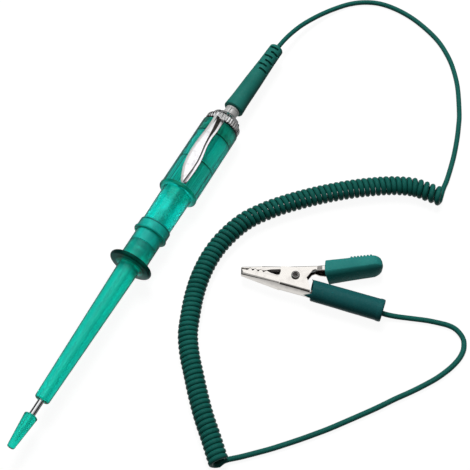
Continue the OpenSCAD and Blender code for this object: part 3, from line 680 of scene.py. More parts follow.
@dataclass(frozen=True)
class Finish:
    """What a surface is made of."""

    name: str
    slot: Slot

    def wire(self, sheet: Sheet) -> None:
        """Wires the material's nodes on its empty sheet."""
        raise NotImplementedError

    def material(self) -> bpy.types.Material:
        """Makes the finish's material, or finds it again.

        Returns:
            The material.
        """
        material = bpy.data.materials.get(self.name)
        if not material:
            material = bpy.data.materials.new(self.name)
            material.use_nodes = True
            self.wire(Sheet(material.node_tree))
        return material

    def dress(self, thing: Obj, *others: "Finish") -> None:
        """Gives a piece or CAD node this finish, and keeps others ready for single faces.

        Args:
            thing: The piece or node.
            others: The finishes that follow it.
        """
        thing.data.materials.clear()
        for finish in (self, *others):
            thing.data.materials.append(finish.material())


@dataclass(frozen=True)
class ClearPlastic(Finish):
    """Dyed clear plastic: the dye darkens it with the depth that light crosses."""

    dye: Colour = (0.0, 0.88, 0.81)
    density: float = 950.0
    tint: Colour = (0.93, 1.0, 0.985)
    clear: float = 1.0
    smooth: float = 0.24
    rough: float = 0.32
    cloudy: float = 0.965
    cloud_scale: float = 150.0
    # Painted shade at the rims: the dark colour that the surface turns to where it faces away from the
    # camera, and the facing range over which it comes in
    rim: Colour = (0.0, 0.07, 0.06)
    painted_rim_range: tuple[float, ...] = (0.48, 0.82, 0.0, 0.92)
    index: float = 1.49
    gleam: Colour = (0.1, 0.35, 0.35)
    coat_by_green: tuple[float, ...] = (0.04, 0.3, 0.0, 0.5)
    coat_rough: float = 0.03
    coat_index: float = 1.35
    scratch_scale: float = 1500.0
    scratch: Pair = (0.02, 0.00002)
    wave_scale: float = 180.0
    wave: Pair = (0.04, 0.0004)
    # Streaks along the pen: how dark, how many round it, how long, the noise that shows, and their shade
    streaks: float = 0.3
    streak_scale: float = 2.2
    streak_length: float = 0.012
    streak_cut: Pair = (0.42, 0.58)
    streak_shade: Colour = (0.5, 0.6, 0.6)
    # Stretches of painted shade, darker tints that stand in for the shade on the flange, at edges and
    # joints and in the gap before the cap: start and end along the pen, least radius, and the zone's tint
    painted_shade_zones: tuple[tuple[float, float, float, Colour], ...] = ()
    painted_shade_blur: Pair = (0.1, 0.3)

    def painted_shade_tint(self, sheet: Sheet, colour: Socket) -> Socket:
        """Lays the painted shade of each stretch and the streaks over the plastic's own tint.

        Args:
            sheet: The material's node tree.
            colour: The plastic's own tint.

        Returns:
            The tint with its painted shade.
        """
        centre = sheet.put("Mapping", {"Vector": sheet.place(), "Location": (-PEN.x * MM, 0, -PEN.z * MM)})
        level = sheet.put("VectorRotate", {"Vector": centre, "Angle": math.radians(-PEN.slope)},
                          rotation_type="Y_AXIS")
        along, across, up = sheet.put("SeparateXYZ", {0: level}).outputs
        station = sheet.times(along, 1 / MM)
        square = sheet.math("ADD", sheet.times(across, across), sheet.times(up, up))
        radius = sheet.times(sheet.math("SQRT", square), 1 / MM)
        ends, sides = self.painted_shade_blur
        for start, end, least, shade in self.painted_shade_zones:
            mask = sheet.times(
                sheet.ramp(station, start - ends, start + ends),
                sheet.ramp(station, end - ends, end + ends, 1.0, 0.0),
                sheet.ramp(radius, least - sides, least + sides),
            )
            colour = sheet.mix(mask, colour, full(shade))
        around = sheet.math("ARCTAN2", across, up)
        lane = sheet.put("CombineXYZ", {0: around, 1: sheet.times(station, self.streak_length)}).outputs[0]
        streak = sheet.ramp(sheet.noise(lane, self.streak_scale, 2.0), *self.streak_cut, 0.0, self.streaks)
        return sheet.mix(streak, colour, sheet.mix(1.0, colour, full(self.streak_shade), "MULTIPLY"))

    def wire(self, sheet: Sheet) -> None:
        """Wires dyed plastic with faint moulding waves and handling scratches.

        Args:
            sheet: The material's empty node tree.
        """
        scuffs = sheet.effect(
            Effects.scuffs(), Scale=self.scratch_scale, Smooth=self.smooth, Rough=self.rough
        )
        darker = tuple(self.cloudy * c for c in self.tint)
        mottle = sheet.effect(
            Effects.mottle(), Colour=full(self.tint), Other=full(darker), Scale=self.cloud_scale
        )
        fine = sheet.bump(scuffs["Height"], *self.scratch)
        # Painted rim shade: on the camera's first hit the colour turns to the dark rim colour where the
        # surface faces away, and the coat fades there
        facing = sheet.ramp(sheet.put("LayerWeight", {"Blend": 0.5}).outputs["Facing"], *self.painted_rim_range)
        edge = sheet.times(facing, sheet.put("LightPath").outputs["Is Camera Ray"])
        painted_shade_tint = self.painted_shade_tint(sheet, mottle["Colour"])
        dull = sheet.ramp(sheet.put("SeparateColor", {0: painted_shade_tint}).outputs[1], *self.coat_by_green)
        sheet.surface({
            "Base Color": sheet.mix(edge, painted_shade_tint, full(self.rim)),
            "Roughness": scuffs["Roughness"],
            "Normal": sheet.bump(sheet.noise(sheet.place(), self.wave_scale, 1.0), *self.wave, fine),
            "IOR": self.index,
            "Specular Tint": full(self.gleam),
            "Transmission Weight": self.clear,
            "Coat Weight": sheet.times(dull, sheet.math("SUBTRACT", 1.0, edge)),
            "Coat Roughness": self.coat_rough,
            "Coat IOR": self.coat_index,
        }, sheet.put("VolumeAbsorption", {"Color": full(self.dye), "Density": self.density}))


@dataclass(frozen=True)
class Metal(Finish):
    """Plated or unplated metal with handling scratches and a slight tarnish."""

    bright: Colour = (0.86, 0.87, 0.88)
    dull: Colour = (0.6, 0.61, 0.62)
    smooth: float = 0.07
    rough: float = 0.18
    scratch_scale: float = 1200.0
    strength: float = 0.08
    depth: float = 0.00002
    tarnish_scale: float = 420.0
    tarnish: tuple[float, ...] = (0.55, 1.0, 0.0, 0.6)
    metallic: float = 1.0

    def wire(self, sheet: Sheet) -> None:
        """Wires metal whose sheen changes with its scratches.

        Args:
            sheet: The material's empty node tree.
        """
        scuffs = sheet.effect(
            Effects.scuffs(), Scale=self.scratch_scale, Smooth=self.smooth, Rough=self.rough
        )
        bright, dull = full(self.bright), full(self.dull)
        mottle = sheet.effect(Effects.mottle(), Colour=bright, Other=dull, Scale=self.tarnish_scale)
        sheet.surface({
            "Base Color": sheet.mix(sheet.ramp(mottle["Value"], *self.tarnish), bright, dull),
            "Roughness": scuffs["Roughness"],
            "Normal": sheet.bump(scuffs["Height"], self.strength, self.depth),
            "Metallic": self.metallic,
        })


@dataclass(frozen=True)
class SoftPlastic(Finish):
    """Moulded vinyl or rubber with a fine skin, a slow change of colour and a little dust."""

    colour: Colour = (0.01, 0.12, 0.09)
    other: Colour = (0.02, 0.16, 0.12)
    smooth: float = 0.3
    rough: float = 0.5
    scratch_scale: float = 700.0
    scratch: Pair = (0.08, 0.00003)
    skin_scale: float = 5200.0
    skin: Pair = (0.03, 0.0001)
    dust: float = 0.03
    dust_rough: float = 0.4
    index: float = 1.45
    gloss: float = 0.12

    def wire(self, sheet: Sheet) -> None:
        """Wires soft plastic with a fine skin.

        Args:
            sheet: The material's empty node tree.
        """
        mottle = sheet.effect(Effects.mottle(), Colour=full(self.colour), Other=full(self.other))
        dust = sheet.effect(Effects.dust(), Colour=mottle["Colour"], Amount=self.dust)
        scuffs = sheet.effect(
            Effects.scuffs(), Scale=self.scratch_scale, Smooth=self.smooth, Rough=self.rough
        )
        marks = sheet.bump(scuffs["Height"], *self.scratch)
        rough = sheet.math("ADD", scuffs["Roughness"], sheet.times(dust["Mask"], self.dust_rough))
        sheet.surface({
            "Base Color": dust["Colour"],
            "Roughness": rough,
            "Normal": sheet.bump(sheet.noise(sheet.place(), self.skin_scale), *self.skin, marks),
            "IOR": self.index,
            "Specular IOR Level": self.gloss,
        })


@dataclass(frozen=True)
class LampGlass(Finish):
    """Thin clear glass of the lamp."""

    index: float = 1.5
    streak_scale: float = 500.0
    streak: Pair = (0.06, 0.0001)
    tints: tuple[Colour, Colour] = ((0.98, 1.0, 0.99), (0.93, 0.97, 0.95))
    rough_range: tuple[float, ...] = (0.3, 0.7, 0.0, 0.03)

    def wire(self, sheet: Sheet) -> None:
        """Wires clear glass with drawing streaks.

        Args:
            sheet: The material's empty node tree.
        """
        streaks = sheet.noise(sheet.place(), self.streak_scale, 2.0)
        sheet.surface({
            "Base Color": sheet.mix(streaks, *map(full, self.tints)),
            "Roughness": sheet.ramp(streaks, *self.rough_range),
            "Normal": sheet.bump(streaks, *self.streak),
            "IOR": self.index,
            "Transmission Weight": 1.0,
        })


class Finishes:
    """Every finish on the tester."""

    cap = ClearPlastic(
        "cap_plastic", Slot.CLEAR_GREEN, dye=(0.0, 0.87, 0.8), density=900.0, tint=(0.06, 0.9, 0.8),
        clear=0.88,
    )
    sleeve = ClearPlastic(
        "sleeve_plastic", Slot.CLEAR_GREEN, dye=(0.0, 0.88, 0.81), density=420.0, tint=(0.03, 1.0, 0.87),
        clear=0.74, smooth=0.3, rough=0.36,
        # Painted shade: the flange's near-black faces, a darker stretch behind the flange and a dark line
        # at its end
        painted_shade_zones=(
            (-0.1, 1.65, 4.7, (0.0, 0.035, 0.035)), (1.65, 9.3, 0.0, (0.03, 0.8, 0.69)),
            (9.2, 9.7, 0.0, (0.0, 0.14, 0.12)),
        ),
    )
    collar = ClearPlastic(
        "collar_plastic", Slot.CLEAR_GREEN, dye=(0.0, 0.88, 0.81), density=300.0, tint=(0.03, 1.0, 0.86),
        clear=0.42, smooth=0.3, rough=0.4, cloudy=0.74, cloud_scale=330.0,
        # Painted shade: dark lines at the bead's front edge and at the collar's rear edge
        painted_shade_zones=((11.6, 12.25, 5.2, (0.0, 0.16, 0.13)), (15.75, 16.15, 0.0, (0.0, 0.2, 0.16))),
    )
    handle = ClearPlastic(
        "handle_plastic", Slot.CLEAR_GREEN, dye=(0.0, 0.88, 0.8), density=70.0, tint=(0.02, 1.0, 0.9),
        clear=0.88, smooth=0.3, rough=0.38, streaks=0.0,
        # Painted shade: the handle's front end, dark lines at joints, a darker rear stretch and the shadow
        # in the gap before the cap
        painted_shade_zones=(
            (29.9, 31.5, 6.3, (0.0, 0.3, 0.2)), (54.0, 61.2, 0.0, (0.03, 0.6, 0.47)),
            (53.6, 54.1, 0.0, (0.0, 0.09, 0.07)), (41.9, 42.4, 0.0, (0.0, 0.15, 0.12)),
            (58.95, 61.3, 0.0, (0.0, 0.02, 0.02)),
        ),
    )
    barrel = ClearPlastic(
        "barrel_plastic", Slot.CLEAR_TEAL, dye=(0.0, 0.97, 0.9), density=300.0, tint=(0.05, 1.0, 0.93),
        clear=0.94, smooth=0.26, rough=0.34, streaks=0.4,
        # Painted shade: a dark line where the collar ends
        painted_shade_zones=((15.9, 16.3, 0.0, (0.0, 0.2, 0.16)),),
    )
    needle = Metal("needle_steel", Slot.STEEL, smooth=0.08, rough=0.16)
    spring = Metal("spring_steel", Slot.STEEL, bright=(0.7, 0.7, 0.7), dull=(0.4, 0.4, 0.4))
    chrome = Metal("bright_chrome", Slot.CHROME, smooth=0.04, rough=0.12)
    plated = Metal(
        "plated_sheet", Slot.PLATED, bright=(0.95, 0.93, 0.95), dull=(0.7, 0.68, 0.7),
        smooth=0.08, rough=0.2, strength=0.1,
    )
    jaw = Metal(
        "jaw_plate", Slot.PLATED, bright=(0.9, 0.865, 0.82), dull=(0.7, 0.665, 0.63),
        smooth=0.1, rough=0.22, strength=0.1,
    )
    # Painted shade: a dark metal for the jaws' folds, cut edges and tail, and for the cap's faces in the
    # gap before the handle
    painted_shade_metal = Metal(
        "painted_shade_edge", Slot.PLATED, bright=(0.22, 0.2, 0.185), dull=(0.09, 0.08, 0.075),
        smooth=0.25, rough=0.45,
    )
    worn = Metal(
        "worn_chrome", Slot.CHROME, bright=(0.93, 0.92, 0.91), dull=(0.6, 0.59, 0.58),
        smooth=0.35, rough=0.5, metallic=0.4,
    )
    pin = Metal(
        "rolled_pin", Slot.CHROME, bright=(0.34, 0.33, 0.32), dull=(0.16, 0.155, 0.15),
        smooth=0.06, rough=0.14,
    )
    # Painted shade: a near-black metal for the jaws' insides and the back of their spines, and for the
    # clip's step
    inside = Metal(
        "painted_hollow_shade", Slot.PLATED, bright=(0.1, 0.09, 0.085), dull=(0.03, 0.027, 0.025),
        smooth=0.4, rough=0.6,
    )
    contact = Metal(
        "contact_nickel", Slot.CONTACT, bright=(0.4, 0.39, 0.36), dull=(0.2, 0.195, 0.18), smooth=0.16,
        rough=0.3,
    )
    glass = LampGlass("lamp_glass", Slot.LAMP_GLASS)
    relief = SoftPlastic(
        "relief_vinyl", Slot.RELIEF, colour=(0.018, 0.19, 0.155), other=(0.024, 0.23, 0.19)
    )
    cord = SoftPlastic(
        "cord_jacket", Slot.CORD, colour=(0.01, 0.135, 0.11), other=(0.013, 0.165, 0.135), smooth=0.24,
        rough=0.4,
    )
    # Painted shade: the boots' vinyl again, painted darker for the lower boot
    boot_shaded_copy = SoftPlastic(
        "boot_painted_darker", Slot.BOOT, colour=(0.012, 0.12, 0.125), other=(0.016, 0.145, 0.148), smooth=0.26,
        rough=0.42,
    )
    boot = SoftPlastic(
        "boot_vinyl", Slot.BOOT, colour=(0.028, 0.28, 0.26), other=(0.035, 0.33, 0.3), smooth=0.3,
        rough=0.48,
    )


@dataclass
class Studio:
    """Floor, lights and camera of the photograph."""

    elevation: float = 62.0
    azimuth: float = -61.5
    distance: float = 400.0
    target: Pair = (13.72, -22.08)
    lens: float = 93.45
    film: float = 36.0
    clip: Pair = (0.01, 50.0)
    floor_half: float = 4.0
    # The floor's glow: as it is seen, mirrored from close by, mirrored from afar, and on matt pieces
    floor_glow: tuple[float, ...] = (0.93, 0.72, 0.1, 0.045)
    floor_reach: Pair = (0.0035, 0.009)
    floor_grey: float = 0.14
    floor_rough: float = 0.7
    # The room: where it turns bright, its light at the horizon and overhead, and what matt pieces get
    bright_from: Pair = (0.6, 0.78)
    horizon: float = 0.02
    overhead: float = 0.38
    matt_share: float = 0.4
    backdrop: float = 0.97
    # Name, place and side in metres, power in watts, and whether shiny pieces mirror the light
    keys: tuple[tuple[str, Triple, float, float, bool], ...] = (
        ("box", (0.33, 0.18, 0.706), 0.7, 1.05, True),
        ("lamp", (0.33, 0.18, 0.706), 0.3, 3.4, False),
        ("window", (-0.28, 0.62, 0.5), 0.28, 0.45, True),
    )

    def build(self) -> None:
        """Makes the camera, the floor, the surroundings and the lights."""
        self.camera()
        self.floor()
        self.surroundings()
        for key in self.keys:
            self.soft_light(*key)
        view = bpy.context.scene.view_settings
        view.view_transform, view.look = "Standard", "None"

    def hung(self, name: str, data: Any, place: Vector, look: Vector) -> Obj:
        """Hangs a camera or light in the scene.

        Args:
            name: Its name.
            data: The camera or light.
            place: Where it stands, in metres.
            look: The way it looks.

        Returns:
            The object.
        """
        thing = bpy.data.objects.new(name, data)
        bpy.context.scene.collection.objects.link(thing)
        thing.location = place
        thing.rotation_euler = look.to_track_quat("-Z", "Y").to_euler()
        return thing

    def camera(self) -> None:
        """Sets the camera where the photograph was taken."""
        up, round_ = math.radians(self.elevation), math.radians(self.azimuth)
        flat = Vector((-math.sin(round_), math.cos(round_), 0))
        look = flat * math.cos(up) - Vector((0, 0, math.sin(up)))
        data = bpy.data.cameras.new("camera")
        data.lens, data.sensor_width = self.lens, self.film
        data.clip_start, data.clip_end = self.clip
        place = (Vector((*self.target, 0)) - look * self.distance) * MM
        bpy.context.scene.camera = self.hung("camera", data, place, look)

    def floor(self) -> None:
        """Lays the plain pale floor."""
        clear()
        bpy.ops.mesh.primitive_plane_add(size=2 * self.floor_half)
        floor = bpy.context.object
        floor.name = "floor"
        material = bpy.data.materials.new("floor")
        material.use_nodes = True
        sheet = Sheet(material.node_tree)
        seen, close, far, spread = self.floor_glow
        light = sheet.put("LightPath").outputs
        straight = sheet.math("SUBTRACT", 1.0, light["Is Transmission Ray"])
        mirrored = sheet.times(light["Is Glossy Ray"], straight)
        glow = sheet.swap(mirrored, seen, sheet.ramp(light["Ray Length"], *self.floor_reach, close, far))
        sheet.surface({
            "Base Color": full((self.floor_grey,) * 3),
            "Roughness": self.floor_rough,
            "Specular IOR Level": 0.0,
            "Emission Color": full((1, 1, 1)),
            "Emission Strength": sheet.swap(light["Is Diffuse Ray"], glow, spread),
        })
        material.cycles.emission_sampling = "NONE"
        floor.data.materials.append(material)

    def surroundings(self) -> None:
        """Makes a bright room overhead that darkens towards the horizon."""
        world = bpy.data.worlds.new("studio")
        bpy.context.scene.world = world
        world.use_nodes = True
        sheet = Sheet(world.node_tree)
        height = sheet.put("SeparateXYZ", {0: sheet.put("TexCoord").outputs["Generated"]}).outputs[2]
        room = sheet.ramp(height, *self.bright_from, self.horizon, self.overhead)
        light = sheet.put("LightPath").outputs
        room = sheet.swap(light["Is Diffuse Ray"], room, sheet.times(room, self.matt_share))
        seen = sheet.math("MAXIMUM", light["Is Camera Ray"], light["Is Transmission Ray"])
        strength = sheet.swap(seen, room, self.backdrop)
        sky = sheet.put("Background", {"Color": full((1, 1, 1)), "Strength": strength})
        sheet.put("OutputWorld", {"Surface": sky})

    def soft_light(self, name: str, place: Triple, size: float, power: float, mirrored: bool) -> None:
        """Adds one soft light that looks at the tester.

        Args:
            name: Name of the light.
            place: Where it stands, in metres.
            size: Side of its square in metres.
            power: Its power in watts.
            mirrored: Whether shiny pieces mirror it.
        """
        data = bpy.data.lights.new(name, "AREA")
        data.shape, data.size, data.energy = "SQUARE", size, power
        light = self.hung(name, data, Vector(place), -Vector(place))
        light.visible_glossy = light.visible_transmission = mirrored


def length_of(points: Sequence[Vector]) -> float:
    """The length of a line through points."""
    return sum((b - a).length for a, b in pairwise(points))


@dataclass
class Lead:
    """The cord from the strain relief through its curly stretch to the crocodile clip."""

    diameter: float = 1.75
    coil_radius: float = 2.375
    coil_z: float = 3.3
    length: float = 1.59
    steps_a_turn: int = 20
    # Gaps between the points of the plain stretches and of the coil's middle line, in millimetres
    plain_gap: float = 1.0
    middle_gap: float = 0.05
    # Points on each side of a place that give the coil's direction, and steps between two route points
    ahead: int = 8
    dense: int = 16
    # Routes in millimetres: from the relief to the coil, the coil's middle line, and on to the crimp
    to_coil: tuple[Triple, ...] = (
        (83.1, -1.2, 6), (87.8, -1.6, 5.5), (92.8, -2.3, 4.6), (98.8, -3.7, 3.4), (105.8, -6.5, 2.2),
        (111.8, -9.8, 1.3), (116.8, -13.7, 0.9), (120.2, -18.3, 0.9), (122.2, -23.6, 0.9),
        (122.6, -29.7, 0.9), (121.7, -36.3, 0.9), (119.5, -43, 0.9), (116.8, -48.6, 0.9),
        (113.4, -53.2, 0.9), (108.9, -57.7, 0.9), (101.9, -62.7, 0.9), (92.2, -67.6, 0.9),
        (87.3, -69.5, 0.9), (82.1, -71.2, 0.9), (75.7, -72.9, 0.9), (70.2, -74, 0.9),
        (65.2, -74.8, 0.9), (61.5, -75.1, 0.9),
    )
    coil: tuple[Pair, ...] = (
        (57.2, -75.9), (56.9, -72), (56.2, -66.4), (53.4, -60), (49.6, -54), (45.4, -48.3), (40.8, -42.8),
        (35.9, -37.5), (30.5, -32.3), (24.7, -27.5), (18, -23.3), (9.8, -20.7), (2.3, -19.8), (-5.6, -20.3),
        (-13.2, -22), (-20.3, -24.5), (-25.7, -26.8), (-31.2, -30.5), (-36.5, -35), (-41.7, -39.5),
        (-46.6, -44.1), (-51.1, -48.9), (-54.6, -52.5), (-57, -55),
    )
    to_clip: tuple[Triple, ...] = (
        (-54.9, -56, 0.9), (-51.8, -59.5, 0.9), (-48.5, -63, 0.9), (-45.2, -66.4, 0.9), (-41.7, -69.7, 0.9),
        (-38.1, -73, 0.9), (-34.3, -76.3, 0.9), (-31.2, -78.9, 0.9), (-25, -83.7, 0.9), (-18.5, -88.6, 0.9),
        (-13.2, -92.3, 0.9), (-8.1, -96.1, 0.9), (-2.2, -100, 0.9), (1.4, -101.9, 0.9), (4.5, -103.2, 0.9),
        (7.3, -104, 0.9), (9.5, -104.3, 0.9), (11.6, -104.2, 0.9), (13.4, -103.6, 0.9), (14.8, -102.8, 0.9),
        (16, -101.3, 0.9), (16.9, -99.2, 0.9), (17, -96.8, 0.9), (16.4, -93.9, 0.9), (15.3, -90, 0.9),
        (13.6, -85.4, 0.9), (11.8, -80.8, 1.1), (10.55, -77.2, 1.75), (9.7, -72.8, 2.6), (8.85, -69, 3.4),
        (8.22, -66, 3.66), (7.7, -63.2, 3.7),
    )
    # Rise of a turn by its place along the coil, in millimetres
    pitches: tuple[Pair, ...] = (
        (0, 2.3), (5, 2.1), (8, 1.83), (50, 1.85), (64, 1.92), (77, 1.93), (90, 1.73), (103, 1.65),
        (160, 1.65),
    )

    def build(self) -> Obj:
        """Draws the lead as one curve and dresses it.

        Returns:
            The curve.
        """
        points = self.points()
        data = bpy.data.curves.new("lead", "CURVE")
        data.dimensions, data.bevel_depth = "3D", self.diameter / 2 * MM
        data.bevel_resolution, data.use_fill_caps = 2, True
        spline = data.splines.new("POLY")
        spline.points.add(len(points) - 1)
        for place, point in zip(spline.points, points, strict=True):
            place.co = (*(point * MM), 1)
        spline.use_smooth = True
        lead = bpy.data.objects.new("lead", data)
        bpy.context.scene.collection.objects.link(lead)
        Finishes.cord.dress(lead)
        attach(lead, Body.TESTER.value)
        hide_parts("cord_lead", "curly_cord", "clip_lead")
        log.info("lead: %d points, %.0f mm long", len(points), length_of(points))
        return lead

    def smooth(self, route: Sequence[Vector], gap: float) -> list[Vector]:
        """Lays points at even gaps on a smooth curve through a route.

        Args:
            route: The points to pass through.
            gap: Distance between the points in millimetres.

        Returns:
            The points, from the route's first to its last.
        """
        dense = []
        for i, (a, b) in enumerate(pairwise(route)):
            before, after = route[max(i - 1, 0)], route[min(i + 2, len(route) - 1)]
            for k in range(self.dense):
                t = k / self.dense
                dense.append(0.5 * (
                    2 * a + (b - before) * t + (2 * before - 5 * a + 4 * b - after) * t * t
                    + (3 * a - before - 3 * b + after) * t**3
                ))
        dense.append(route[-1])
        total = length_of(dense)
        count = max(2, round(total / gap))
        even, travelled, i = [dense[0]], 0.0, 0
        for k in range(1, count):
            wanted = total * k / count
            while travelled + (dense[i + 1] - dense[i]).length < wanted:
                travelled += (dense[i + 1] - dense[i]).length
                i += 1
            step = dense[i + 1] - dense[i]
            even.append(dense[i] + step * ((wanted - travelled) / step.length))
        return [*even, dense[-1]]

    def rise(self, along: float) -> float:
        """Finds the pitch of the coil at a place along it.

        Args:
            along: The place in millimetres from its first turn.

        Returns:
            The pitch in millimetres.
        """
        for (a, low), (b, high) in pairwise(self.pitches):
            if along <= b:
                return low + (high - low) * (along - a) / (b - a)
        return self.pitches[-1][1]

    def helix(self) -> list[Vector]:
        """Winds the curly stretch from the lead's side to the clip's side.

        Returns:
            Its points in millimetres.
        """
        middle = self.smooth([Vector((*p, self.coil_z)) for p in self.coil], self.middle_gap)
        places, turns = [0.0], [0.0]
        for a, b in pairwise(middle):
            places.append(places[-1] + (b - a).length)
        for a, b in pairwise(places):
            turns.append(turns[-1] + (b - a) / self.rise((a + b) / 2))
        whole = round(turns[-1])
        share = whole / turns[-1]
        points, i, up = [], 0, Vector((0, 0, 1))
        for k in range(whole * self.steps_a_turn + 1):
            wanted = k / self.steps_a_turn
            while i < len(turns) - 2 and turns[i + 1] * share < wanted:
                i += 1
            way = middle[min(i + self.ahead, len(middle) - 1)] - middle[max(i - self.ahead, 0)]
            side = way.normalized().cross(up)
            part = (wanted / share - turns[i]) / (turns[i + 1] - turns[i])
            centre = middle[i].lerp(middle[i + 1], min(max(part, 0), 1))
            angle = math.pi + wanted * math.tau
            points.append(centre + self.coil_radius * (math.cos(angle) * up + math.sin(angle) * side))
        log.info("coil: %d turns", whole)
        return points

    def points(self) -> list[Vector]:
        """Lays the lead's three stretches end to end.

        Returns:
            Points in millimetres to the coil, round it and on to the clip.
        """
        middle = self.helix()
        start = self.smooth([*map(Vector, self.to_coil), middle[0]], self.plain_gap)[:-1]
        end = self.smooth([middle[-1], *map(Vector, self.to_clip)], self.plain_gap)[1:]
        return start + middle + end


@dataclass
class PenShell:
    """The pen's CAD nodes, which keep their shapes and get their finishes, and the trimmed handle."""

    finishes: tuple[tuple[Finish, tuple[str, ...]], ...] = (
        (Finishes.cap, ("tip_cap",)),
        (Finishes.needle, ("probe_needle",)),
        (Finishes.sleeve, ("probe_sleeve",)),
        (Finishes.collar, ("front_collar",)),
        (Finishes.barrel, ("lamp_barrel",)),
        (Finishes.contact, ("lamp_socket", "contact_strip", "rear_terminal")),
        (Finishes.cord, ("inner_lead",)),
        (Finishes.chrome, ("neck_bush",)),
        (Finishes.worn, ("ferrule",)),
        (Finishes.relief, ("strain_relief",)),
    )
    trim_from: float = 59.9
    trim_to: float = 62.0
    trimmed: float = 1.4
    facet_cuts: int = 3

    def build(self, nodes: dict[str, Obj]) -> None:
        """Trims the handle's rear end as the photograph shows it, and gives each node its finish.

        Args:
            nodes: The frame's nodes by name.
        """
        handle = Piece.copied("clear_handle", nodes["handle"])
        handle.slid(self.trim_from, self.trim_to, self.trimmed)
        handle.rounded(self.facet_cuts)
        handle.settled()
        handle.dress(Finishes.handle)
        handle.hand_over(Body.TESTER, "handle")
        for finish, names in self.finishes:
            for name in names:
                finish.dress(nodes[name])
                log.info("%s: %s", name, finish.name)


@dataclass
class KnurledCap:
    """The chromed end cap, with worn outer faces on its knurl and painted shadow on the faces in the gap
    under its rim.
    """

    front: float = 61.0
    gap: float = 0.45
    rim: float = 6.3
    rim_width: float = 1.0
    groove: float = 0.14
    # What slides forward to the photograph's place: the cap up to its cone
    cone: float = 63.8
    forward: float = 1.4
    smooth: float = 30.0

    def build(self, nodes: dict[str, Obj]) -> None:
        """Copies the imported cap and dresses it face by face.

        Args:
            nodes: The frame's nodes by name.
        """
        cap = Piece.copied("knurled_cap", nodes["end_cap"])
        cap.slid(0.0, self.cone, self.forward)
        cap.settled(smooth=self.smooth)
        cap.dress(Finishes.chrome, Finishes.painted_shade_metal, Finishes.worn)
        back = PEN.matrix().inverted()
        for face in cap.thing.data.polygons:
            middle = back @ face.center / MM
            radius, station = math.hypot(middle.x, middle.y), middle.z + self.forward
            # Painted shadow on the faces in the gap before the handle; worn outer faces on the knurl
            if station < self.front + self.gap and radius > self.rim - self.rim_width:
                face.material_index = SECOND
            elif self.front < station and radius > self.rim - self.groove:
                face.material_index = THIRD
        cap.hand_over(Body.TESTER, "end_cap")


